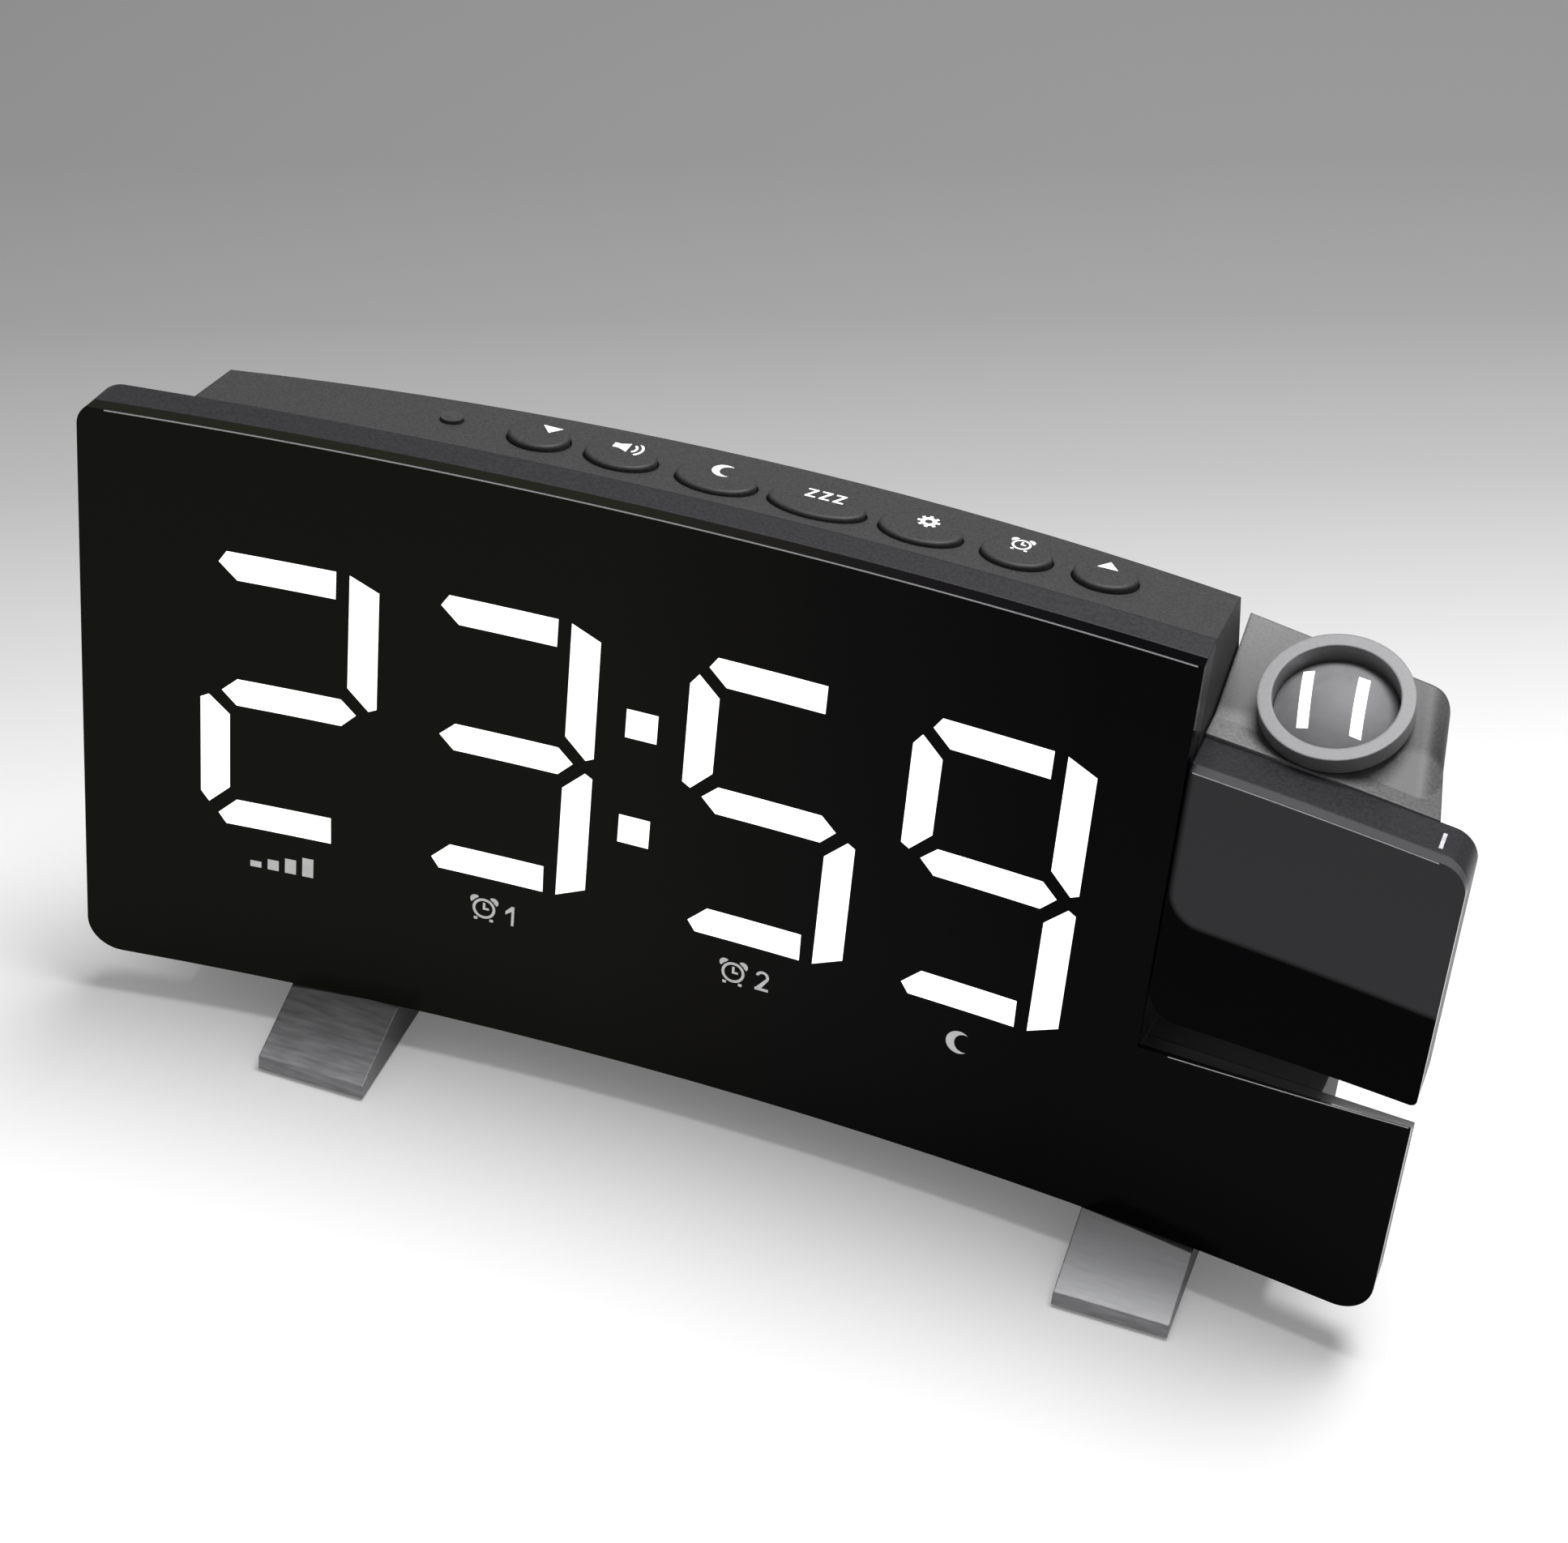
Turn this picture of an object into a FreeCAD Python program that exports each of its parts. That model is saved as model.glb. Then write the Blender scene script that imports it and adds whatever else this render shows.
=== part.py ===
import FreeCAD, Part
import os
import re
import Sketcher

# Projection alarm clock with a concave display face, seven keys on top, two
# wedge feet and a projector head that turns about a level axle in the right
# end. Every piece is drawn square to the face: x right, y into the clock,
# z up the face, with z = 0 on the lower edge of the face and y = 0 where the
# face is deepest. A last placement leans the clock back onto its soles.
V = FreeCAD.Vector
os.makedirs("parts", exist_ok=True)
doc = FreeCAD.newDocument("projection_clock")

# Driving dimensions, in millimetres and degrees
SIZES = {
    # face and front frame
    "face_radius": 541.0,
    "face_width": 187.0,
    "face_height": 86.5,
    "top_rise": 0.8,
    "corner_top": 3.5,
    "corner_bottom": 5.0,
    "pane_thickness": 1.8,
    "frame_depth": 6.0,
    "frame_wall": 2.2,
    "back_plate": 1.6,
    # rear housing
    "housing_width": 162.0,
    "housing_wall": 2.0,
    "back_radius": 310.0,
    "back_top_depth": 22.0,
    "back_top_fall": 0.4,
    "back_depth": 32.0,
    "back_upper": 68.0,
    "back_lower": 11.0,
    "back_bottom_depth": 19.0,
    # projector axle and its notch
    "notch_left": 56.8,
    "notch_swing": 30.3,
    "notch_corner": 4.0,
    "hinge_depth": 10.0,
    "hinge_height": 56.0,
    "axle_radius": 5.0,
    "axle_bore": 2.5,
    "axle_play": 0.06,
    "axle_boss": 3.0,
    "washer_thickness": 0.7,
    "clip_thickness": 0.9,
    "end_play": 0.1,
    # projector head
    "head_left": 57.1,
    "head_depth": 8.6,
    "head_right": 93.5,
    "head_bottom_left": 34.0,
    "head_bottom_right": 35.0,
    "head_corner": 1.0,
    "head_top_left": 71.7,
    "head_top_right": 70.6,
    "head_wall": 1.8,
    "head_turn": 11.0,
    "shell_length": 31.2,
    "shell_taper": 4.0,
    "shell_fall": 2.5,
    "shell_round": 3.0,
    "ledge_depth": 10.2,
    "ledge_height": 72.2,
    "slant": 24.5,
    "crown_depth": 25.2,
    "shell_depth": 32.0,
    "shell_floor": 36.6,
    # optics, along the beam from the top of the focus ring
    "lens_across": 71.4,
    "lens_depth": 12.56,
    "lens_height": 77.93,
    "ring_radius": 9.9,
    "ring_bore": 8.05,
    "ring_lip": 2.7,
    "ring_step": 1.3,
    "neck_radius": 8.8,
    "neck_bore": 7.5,
    "neck_length": 9.5,
    "ring_play": 0.08,
    "cell_radius": 7.42,
    "cell_bore": 6.2,
    "cell_length": 7.2,
    "dome_radius": 12.0,
    "lens_radius": 7.9,
    "lens_set": 0.4,
    "tunnel_radius": 6.4,
    "tunnel_bore": 5.4,
    "tunnel_start": 11.3,
    "tunnel_length": 9.0,
    "film_side": 7.0,
    "film_thickness": 0.8,
    "board_thickness": 1.6,
    "lamp_board_thickness": 1.2,
    "lead_radius": 0.8,
    # numerals
    "digit_height": 43.3,
    "digit_base": 25.2,
    "digit_one": -61.6,
    "digit_two": -31.0,
    "digit_three": 6.0,
    "digit_four": 36.6,
    "colon_centre": -15.4,
    "colon_side": 4.4,
    "window_depth": 0.5,
    "diffuser_thickness": 1.0,
    "well_margin": 0.4,
    # display unit behind the pane
    "display_left": -77.0,
    "display_right": 48.8,
    "display_bottom": 21.5,
    "display_top": 74.5,
    "display_back": 11.0,
    "lamp_width": 2.6,
    "lamp_depth": 0.8,
    # main board
    "main_left": -25.0,
    "main_right": 48.0,
    "main_bottom": 8.0,
    "main_front": 17.4,
    "spacer_radius": 2.2,
    # keys
    "key_board_height": 76.1,
    "key_board_front": 7.6,
    "key_board_back": 19.2,
    "key_board_left": -53.0,
    "key_board_right": 46.5,
    "key_depth": 11.7,
    "key_half_depth": 3.7,
    "key_proud": 0.9,
    "key_gap": 0.2,
    "key_travel": 0.6,
    "key_flange": 0.5,
    "key_flange_thickness": 0.9,
    "key_rounding": 0.4,
    "switch_side": 6.0,
    "switch_height": 3.2,
    "stem_radius": 1.7,
    "stem_height": 0.6,
    "sensor_across": -49.0,
    "sensor_depth": 11.5,
    "sensor_radius": 1.5,
    # speaker
    "speaker_across": -52.0,
    "speaker_height": 44.0,
    "speaker_radius": 17.6,
    "speaker_face": 22.0,
    "speaker_rim": 2.0,
    "speaker_body": 5.0,
    "magnet_radius": 9.0,
    "magnet_length": 2.2,
    "grille_hole": 1.1,
    "grille_pitch": 4.6,
    # power jack
    "jack_across": 10.0,
    "jack_height": 20.0,
    "jack_side": 9.0,
    "jack_bore": 3.0,
    "jack_pin": 0.9,
    "jack_hole": 3.8,
    # dimmer switch
    "dimmer_across": 32.0,
    "dimmer_body": 9.0,
    "dimmer_tall": 4.6,
    "dimmer_travel": 2.2,
    "dimmer_knob_width": 2.4,
    "dimmer_knob_tall": 2.8,
    "dimmer_proud": 1.2,
    # backup cell
    "cell_across": 20.0,
    "cell_height": 52.0,
    "coin_radius": 10.0,
    "coin_thickness": 3.2,
    "holder_side": 24.0,
    "holder_thickness": 4.6,
    "door_side": 27.0,
    "door_gap": 0.2,
    # screws
    "screw_radius": 1.2,
    "head_radius": 2.2,
    "head_height": 1.5,
    "screw_boss": 3.6,
    "screw_seat": 7.0,
    "screw_side": 72.0,
    "screw_low": 10.0,
    "screw_high": 80.0,
    "screw_inner": 50.5,
    "screw_clear": 0.5,
    # feet and stance
    "lean": 7.0,
    "sole_drop": 6.9,
    "foot_width": 16.0,
    "foot_left": -55.6,
    "foot_right": 61.1,
    "foot_front": 14.0,
    "foot_tip": 2.1,
    "foot_start": 2.5,
    "foot_seat": 13.0,
    "foot_back": 28.0,
    "foot_back_drop": 1.5,
    "foot_lift": 0.5,
    "pad_thickness": 1.5,
    "pad_inset": 2.0,
}

sheet = doc.addObject("Spreadsheet::Sheet", "sizes")
for row, (name, value) in enumerate(SIZES.items(), start=1):
    sheet.set(f"A{row}", name)
    sheet.set(f"B{row}", str(value))
    sheet.setAlias(f"B{row}", name)
doc.recompute()
reading = doc.addObject("App::FeaturePython", "reading")
reading.addProperty("App::PropertyFloat", "number")


def bind(text):
    """The same expression with each size written as the sheet's own cell."""
    return re.sub(r"[a-z_]+", lambda m: "sizes." + m[0] if m[0] in SIZES else m[0], str(text))


def size(text):
    """The value that an expression in sheet names has now."""
    reading.setExpression("number", bind(text))
    reading.recompute()
    return reading.number


def place(obj, x="0", y="0", z="0"):
    for axis, text in (("x", x), ("y", y), ("z", z)):
        obj.setExpression(f"Placement.Base.{axis}", bind(text))


def box(name, x, y, z, across, deep, tall):
    obj = doc.addObject("Part::Box", name)
    obj.setExpression("Length", bind(across))
    obj.setExpression("Width", bind(deep))
    obj.setExpression("Height", bind(tall))
    place(obj, x, y, z)
    return obj


AXES = {
    "x": FreeCAD.Rotation(V(0, 1, 0), 90),
    "y": FreeCAD.Rotation(V(1, 0, 0), -90),
    "z": FreeCAD.Rotation(),
}


def rod(name, along, radius, length, x="0", y="0", z="0"):
    """A cylinder that starts at x, y, z and runs along one axis."""
    obj = doc.addObject("Part::Cylinder", name)
    obj.Placement = FreeCAD.Placement(V(), AXES[along])
    obj.setExpression("Radius", bind(radius))
    obj.setExpression("Height", bind(length))
    place(obj, x, y, z)
    return obj


def cone(name, along, radius_one, radius_two, length, x="0", y="0", z="0"):
    obj = doc.addObject("Part::Cone", name)
    obj.Placement = FreeCAD.Placement(V(), AXES[along])
    obj.setExpression("Radius1", bind(radius_one))
    obj.setExpression("Radius2", bind(radius_two))
    obj.setExpression("Height", bind(length))
    place(obj, x, y, z)
    return obj


def cut(name, base, *tools):
    for step, tool in enumerate(tools):
        obj = doc.addObject("Part::Cut", f"{name}_cut{step}")
        obj.Base = base
        obj.Tool = tool
        base = obj
    return base


def fuse(name, *shapes):
    obj = doc.addObject("Part::MultiFuse", name)
    obj.Shapes = list(shapes)
    obj.Refine = True
    return obj


def common(name, *shapes):
    obj = doc.addObject("Part::MultiCommon", name)
    obj.Shapes = list(shapes)
    return obj


def group(name, *shapes):
    obj = doc.addObject("Part::Compound", name)
    obj.Links = list(shapes)
    return obj


def sketched(name, plane, points):
    """A body with one closed sketch of straight lines through points of
    expressions, each held to the sheet by its two coordinates."""
    body = doc.addObject("PartDesign::Body", name)
    sketch = body.newObject("Sketcher::SketchObject", name + "_sketch")
    origin = [part for part in body.Origin.OriginFeatures if part.Role == plane][0]
    sketch.AttachmentSupport = [(origin, "")]
    sketch.MapMode = "FlatFace"
    numbers = [(size(u), size(v)) for u, v in points]
    count = len(numbers)
    for index in range(count):
        start = V(*numbers[index], 0)
        end = V(*numbers[(index + 1) % count], 0)
        sketch.addGeometry(Part.LineSegment(start, end), False)
    for index in range(count):
        sketch.addConstraint(Sketcher.Constraint("Coincident", index, 2, (index + 1) % count, 1))
    for index, pair in enumerate(points):
        for kind, text, number in zip(("DistanceX", "DistanceY"), pair, numbers[index]):
            held = sketch.addConstraint(Sketcher.Constraint(kind, -1, 1, index, 1, number))
            sketch.setExpression(f"Constraints[{held}]", bind(text))
    return body, sketch


def padded(name, plane, points, length):
    """A prism centred on its sketch plane."""
    body, sketch = sketched(name, plane, points)
    pad = body.newObject("PartDesign::Pad", name + "_pad")
    pad.Profile = sketch
    pad.Midplane = True
    pad.setExpression("Length", bind(length))
    doc.recompute()
    return body, pad


def rounded(body, base, picks):
    """Fillets on a body's straight edges: picks gives, for a test of an edge's
    middle point, the size that names the radius."""
    for number, (test, radius) in enumerate(picks):
        names = [
            f"Edge{index}"
            for index, edge in enumerate(base.Shape.Edges, start=1)
            if edge.Curve.TypeId == "Part::GeomLine" and test(edge.CenterOfMass, edge.Curve.Direction)
        ]
        fillet = body.newObject("PartDesign::Fillet", f"{body.Name}_round{number}")
        fillet.Base = (base, names)
        fillet.setExpression("Radius", bind(radius))
        doc.recompute()
        base = fillet
    return body


def turned(name, points, sweep="40"):
    """A shell turned about an upright axis behind the viewer, so that the back
    of the clock is an arc in plan. Points are depth and height."""
    pivot = "(back_top_depth - back_radius)"
    body, sketch = sketched(name, "YZ_Plane", [(f"{y} - {pivot}", z) for y, z in points])
    spin = body.newObject("PartDesign::Revolution", name + "_spin")
    spin.Profile = sketch
    spin.ReferenceAxis = (sketch, ["V_Axis"])
    spin.Midplane = True
    spin.Angle = float(sweep)
    place(body, y=pivot)
    doc.recompute()
    return body


pieces = []


def piece(node, obj):
    """Files an object as one named node of the clock."""
    holder = doc.addObject("Part::Compound", node)
    holder.Label = node
    holder.Links = [obj]
    pieces.append(holder)
    return holder


# Construction solids: the face's arc in plan, its outline and the notch
REACH = "120"
LOW = "-20"


def arc_block(name, depth):
    """Everything in front of a surface that lies depth behind the face."""
    return rod(name, "z", f"face_radius + {depth}", "140", y="-face_radius", z=LOW)


def arc_shell(name, front, back):
    """The layer between two depths behind the face."""
    return cut(name, arc_block(name + "_out", back), arc_block(name + "_in", front))


top = "(face_height + top_rise)"
half = "face_width / 2"


def outline(name, inset):
    body, pad = padded(
        name,
        "XZ_Plane",
        [
            (f"-{half} + {inset}", f"{inset}"),
            (f"{half} - {inset}", f"{inset}"),
            (f"{half} - {inset}", f"{top} - {inset}"),
            (f"-{half} + {inset}", f"{top} - {inset}"),
        ],
        REACH,
    )
    middle = size("face_height") / 2
    return rounded(
        body,
        pad,
        [
            (lambda p, d: abs(d.y) > 0.9 and p.z < middle, f"corner_bottom - {inset}"),
            (lambda p, d: abs(d.y) > 0.9 and p.z > middle, f"corner_top - {inset}"),
        ],
    )


face_outline = outline("face_outline", "0")
frame_inside = outline("frame_inside", "frame_wall")

# The top of the band climbs by top_rise from the face to the housing
band_cone = cone(
    "band_cone",
    "z",
    "face_radius",
    "face_radius + frame_depth * 5",
    "top_rise * 5",
    y="-face_radius",
    z="face_height",
)


def notch(name, grow):
    """The room that the head turns in: a drum about the axle, and all above."""
    left = f"notch_left - {grow}"
    drum = rod(name + "_drum", "x", f"notch_swing + {grow}", REACH, left, "hinge_depth", "hinge_height")
    soft = doc.addObject("Part::Fillet", name + "_soft")
    soft.Base = drum
    soft.Edges = [(3, size("notch_corner"), size("notch_corner"))]
    above = box(name + "_above", left, "-60", "hinge_height", REACH, REACH, REACH)
    return fuse(name, soft, above)


notch_room = notch("notch_room", "0")
notch_wall = notch("notch_wall", "housing_wall")

# Numeral windows, as outlines in hundredths of the digit height
SEGMENTS = {
    "top": ((-29.7, 96), (-27.2, 100), (7.5, 100), (7.5, 90.3), (-23.8, 90.3)),
    "upper_right": ((11.8, 99.6), (21.3, 95.3), (21.5, 53.6), (18.9, 52.3), (11.9, 59.4)),
    "lower_right": ((12, 40.6), (19, 47.6), (21.5, 46.2), (21.6, 4.6), (12, 0.2)),
    "bottom": ((-29.6, 3.7), (-23.6, 9.7), (7.5, 9.7), (7.7, 0), (-27, 0)),
    "lower_left": ((-35.5, 46.1), (-32.8, 47.6), (-26, 41.4), (-25.9, 14), (-32.7, 7.3), (-35.4, 10.9)),
    "upper_left": ((-35.3, 88.9), (-32.6, 92.7), (-25.7, 86), (-25.8, 59.1), (-32.5, 52.1), (-35.2, 53.7)),
    "middle": ((-28.6, 50), (-23.6, 54.8), (9.9, 54.8), (14.9, 50), (10.2, 45.1), (-23.8, 45.1)),
}
SHOWN = {
    "digit_one": ("top", "upper_right", "middle", "lower_left", "bottom"),
    "digit_two": ("top", "upper_right", "middle", "lower_right", "bottom"),
    "digit_three": ("top", "upper_left", "middle", "lower_right", "bottom"),
    "digit_four": ("top", "upper_right", "upper_left", "middle", "lower_right", "bottom"),
}
COLON_HEIGHTS = (0.31, 0.694)


def window_face(points, grow):
    """A flat face in the plane y = 0 with its sides moved out by grow."""
    wire = Part.makePolygon([V(x, 0, z) for x, z in points + points[:1]])
    if grow:
        wire = wire.makeOffset2D(grow, join=2)
    return Part.Face(wire)


def windows(name, chosen, grow):
    """Bars of the numerals as upright prisms right through the display."""
    tall = sheet.digit_height
    bars = []
    for digit, lit in SHOWN.items():
        for segment, outline_points in SEGMENTS.items():
            if chosen == "lit" and segment not in lit:
                continue
            origin = getattr(sheet, digit)
            points = [(origin + u * tall / 100, sheet.digit_base + v * tall / 100) for u, v in outline_points]
            bars.append(window_face(points, grow))
    reach = sheet.colon_side / 2
    for share in COLON_HEIGHTS:
        middle = sheet.digit_base + share * tall
        left = sheet.colon_centre - reach
        right = sheet.colon_centre + reach
        corners = [(left, middle - reach), (right, middle - reach), (right, middle + reach), (left, middle + reach)]
        bars.append(window_face(corners, grow))
    obj = doc.addObject("Part::Feature", name)
    obj.Shape = Part.makeCompound([face.extrude(V(0, 40, 0)) for face in bars])
    obj.Placement = FreeCAD.Placement(V(0, -20, 0), FreeCAD.Rotation())
    return obj


lit_bars = windows("lit_bars", "lit", 0)
all_bars = windows("all_bars", "all", 0)
well_bars = windows("well_bars", "all", size("well_margin"))

# Front pane, a curved sheet with the lit numeral windows let into it
pane_blank = common("pane_blank", arc_shell("pane_layer", "0", "pane_thickness"), face_outline)
window_layer = arc_shell("window_layer", "0", "window_depth")
lit_windows = common("lit_windows", window_layer, lit_bars)
piece("lit_numerals", lit_windows)
pane_open = common("pane_open", arc_shell("window_reach", "-1", "window_depth"), lit_bars)
piece("front_pane", cut("pane", pane_blank, band_cone, notch_room, pane_open))

# Front frame, a tub that carries the pane and closes onto the rear housing
inner_width = "(housing_width - 2 * housing_wall)"
frame_blank = common("frame_blank", arc_shell("frame_layer", "pane_thickness", "frame_depth"), face_outline)
frame_tub = common("frame_tub", arc_shell("frame_tub_layer", "pane_thickness - 1", "frame_depth - back_plate"),
                   frame_inside)
frame_hole = box("frame_hole", f"-{inner_width} / 2", "-30", "frame_wall", inner_width, "60",
                 f"{top} - 2 * frame_wall")
frame_room = cut("frame_room", fuse("frame_open", frame_tub, frame_hole), notch_wall)
frame_body = cut("frame_body", frame_blank, band_cone, notch_room, frame_room)

SCREWS = {
    "low_left": ("(-screw_side)", "screw_low"),
    "low_right": ("screw_side", "screw_low"),
    "high_left": ("(-screw_side)", "screw_high"),
    "high_right": ("screw_inner", "screw_high"),
}
lug_rods = group("lug_rods", *[
    rod(f"lug_{spot}", "y", "screw_boss", "60", x, "-30", z) for spot, (x, z) in SCREWS.items()
])
lug_webs = group("lug_webs", *[
    box(f"web_{spot}", f"{x} - screw_boss", "-30", "1" if "low" in spot else z, "2 * screw_boss", "60",
        f"{z} - 1" if "low" in spot else f"{top} - 1.2 - {z}")
    for spot, (x, z) in SCREWS.items()
])
lugs = common("lugs", arc_shell("lug_layer", "pane_thickness", "frame_depth"),
              fuse("lug_forms", lug_rods, lug_webs))
pilots = group("pilots", *[
    rod(f"pilot_{spot}", "y", "screw_radius", "screw_seat + 6.5", x, "-6.5", z) for spot, (x, z) in SCREWS.items()
])
piece("front_frame", cut("frame", fuse("frame_with_lugs", frame_body, lugs), pilots))

# Rear housing, a shell turned about an upright axis
back_top = f"({top} - back_top_fall - top_rise)"


def back_profile(wall, foot, roof):
    return [
        ("-25", foot),
        (f"back_bottom_depth - {wall} * 0.35", foot),
        (f"back_depth - {wall}", f"back_lower + {wall} * 0.35"),
        (f"back_depth - {wall}", f"back_upper - {wall} * 0.25"),
        (f"back_top_depth - {wall} * 0.55", f"{back_top} - {wall}"),
        (f"frame_depth", roof),
        ("-25", roof),
    ]


outer_turn = turned("outer_turn", back_profile("0", "0", top))
inner_turn = turned("inner_turn", back_profile("housing_wall", "housing_wall", f"{top} - housing_wall"))
housing_span = box("housing_span", "-housing_width / 2", "-40", LOW, "housing_width", REACH, "140")
cavity_span = box("cavity_span", f"-{inner_width} / 2", "-41", LOW, inner_width, REACH, "140")
housing_solid = cut("housing_solid", common("housing_blank", outer_turn, housing_span),
                    arc_block("housing_front", "frame_depth"), notch_room)
cavity = cut("cavity", common("cavity_blank", inner_turn, cavity_span), notch_wall)
housing_shell = cut("housing_shell", housing_solid, cavity)

boss_rods = group("boss_rods", *[
    rod(f"boss_{spot}", "y", "screw_boss", "60", x, "-30", z) for spot, (x, z) in SCREWS.items()
])
speaker_tube = cut(
    "speaker_tube",
    rod("speaker_tube_out", "y", "speaker_radius + 0.4", "40", "speaker_across", "speaker_face", "speaker_height"),
    rod("speaker_tube_in", "y", "speaker_radius - 1.4", "42", "speaker_across", "speaker_face - 1",
        "speaker_height"),
)
axle_seat = rod("axle_seat", "x", "axle_radius + 3", "axle_boss + 0.5", "notch_left - housing_wall - axle_boss",
                "hinge_depth", "hinge_height")
door_low = "(cell_height - door_side / 2)"
door_lug = box("door_lug", "cell_across - 4", "back_depth - 8", f"{door_low} - 3.5", "8", "8", "7")
fixings = common("fixings", housing_solid,
                 group("fixing_group", boss_rods, speaker_tube, door_lug))
sinks = group("sinks", *[
    rod(f"sink_{spot}", "y", "head_radius + 0.3", "60", x, "screw_seat", z) for spot, (x, z) in SCREWS.items()
])
grille = []
for ring, number in enumerate((1, 6, 12)):
    for turn in range(number):
        angle = f"({turn * 360.0 / number})"
        grille.append(
            rod(f"grille_{ring}_{turn}", "y", "grille_hole", "30",
                f"speaker_across + grille_pitch * {ring} * cos({angle} * 1deg)", "speaker_face - 1",
                f"speaker_height + grille_pitch * {ring} * sin({angle} * 1deg)")
        )
grille_rods = group("grille_rods", *grille)
axle_hole = rod("axle_hole", "x", "axle_radius + axle_play", "20", "notch_left - 12", "hinge_depth", "hinge_height")
jack_opening = rod("jack_opening", "y", "jack_hole", "20", "jack_across", "back_depth - 8", "jack_height")
dimmer_slot = box("dimmer_slot", "dimmer_across - dimmer_travel - dimmer_knob_width / 2 - 0.3", "back_depth - 8",
                  "jack_height - dimmer_knob_tall / 2 - 0.3", "2 * dimmer_travel + dimmer_knob_width + 0.6", "20",
                  "dimmer_knob_tall + 0.6")
door_cutter = box("door_cutter", "cell_across - door_side / 2", "back_depth - 3.9", door_low, "door_side", "20",
                  "door_side")
door_screw_hole = rod("door_screw_hole", "y", "screw_radius", "20", "cell_across", "back_depth - 9",
                      f"{door_low} + 1.8")
sensor_hole = rod("sensor_hole", "z", "sensor_radius + 0.1", "20", "sensor_across", "sensor_depth", "80")
FEET = {"left": "foot_left", "right": "foot_right"}
foot_screw_spots = [(side, step, f"{place_name} + {step} * 5") for side, place_name in FEET.items()
                    for step in (-1, 1)]
foot_holes = group("foot_holes", *[
    rod(f"foot_hole_{side}_{step + 1}", "z", "screw_radius", "14", x, "screw_seat", "-4")
    for side, step, x in foot_screw_spots
])

KEYS = {
    "key_down": (-36.7, 8.3),
    "key_volume": (-25.2, 9.8),
    "key_sleep": (-12.0, 10.9),
    "key_snooze": (1.8, 13.1),
    "key_set": (15.8, 11.0),
    "key_alarm": (28.6, 9.3),
    "key_up": (40.3, 8.4),
}


def oval(name, centre, across, deep, low, tall):
    """An upright oval prism of the given half sizes."""
    ring = doc.addObject("Part::Ellipse", name + "_ring")
    ring.setExpression("MajorRadius", bind(across))
    ring.setExpression("MinorRadius", bind(deep))
    place(ring, centre, "key_depth", low)
    prism = doc.addObject("Part::Extrusion", name)
    prism.Base = ring
    prism.DirMode = "Custom"
    prism.Dir = V(0, 0, 1)
    prism.setExpression("LengthFwd", bind(tall))
    prism.Solid = True
    return prism


key_holes = group("key_holes", *[
    oval(f"{key}_hole", f"{x}", f"{wide} / 2 + key_gap", "key_half_depth + key_gap", "80", "20")
    for key, (x, wide) in KEYS.items()
])
housing_full = fuse("housing_full", housing_shell, fixings, axle_seat)
housing = cut("housing", housing_full, sinks, pilots, grille_rods, axle_hole, jack_opening, dimmer_slot,
              door_cutter, door_screw_hole, sensor_hole, foot_holes, key_holes)
piece("rear_housing", housing)

# Battery door, the piece of the back wall over the coin cell
door_block = box("door_block", "cell_across - door_side / 2 + door_gap", "0", f"{door_low} + door_gap",
                 "door_side - 2 * door_gap", "60", "door_side - 2 * door_gap")
door_plate = cut("door_plate", common("door_blank", outer_turn, door_block), inner_turn)
door_tongue = box("door_tongue", "cell_across - 6", "back_depth - housing_wall - 2.9",
                  "cell_height + door_side / 2 - 3", "12", "1.6", "5")
door_rib = box("door_rib", "cell_across - 6", "back_depth - housing_wall - 2.9",
               "cell_height + door_side / 2 - 3", "12", "3.2", "2")
piece("battery_door", cut("door", fuse("door_whole", door_plate, door_tongue, door_rib), door_screw_hole))


def screw(name, along, x, y, z, seat_to_tip):
    """A screw with its head's underside at x, y, z and its shank behind that."""
    shank_start = {"y": (x, f"{y} - {seat_to_tip}", z), "z": (x, y, f"{z} - {seat_to_tip}")}[along]
    shank = rod(name + "_shank", along, "screw_radius - 0.1", f"{seat_to_tip} + 0.2", *shank_start)
    head = rod(name + "_head", along, "head_radius", "head_height", x, y, z)
    return fuse(name, shank, head)


piece("housing_screws", group("housing_screw_group", *[
    screw(f"housing_screw_{spot}", "y", x, "screw_seat", z,
          f"(screw_seat - screw_clear - pane_thickness + {x} * {x} / (2 * face_radius))")
    for spot, (x, z) in SCREWS.items()
]))
piece("foot_screws", group("foot_screw_group", *[
    screw(f"foot_screw_{side}_{step + 1}", "z", x, "screw_seat", "housing_wall", "5.6")
    for side, step, x in foot_screw_spots
]))
door_face = "(back_depth - (cell_across - head_radius) * (cell_across - head_radius) / (2 * back_radius))"
piece("battery_door_screw", screw("door_screw", "y", "cell_across", door_face, f"{door_low} + 1.8", "6.5"))

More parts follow.
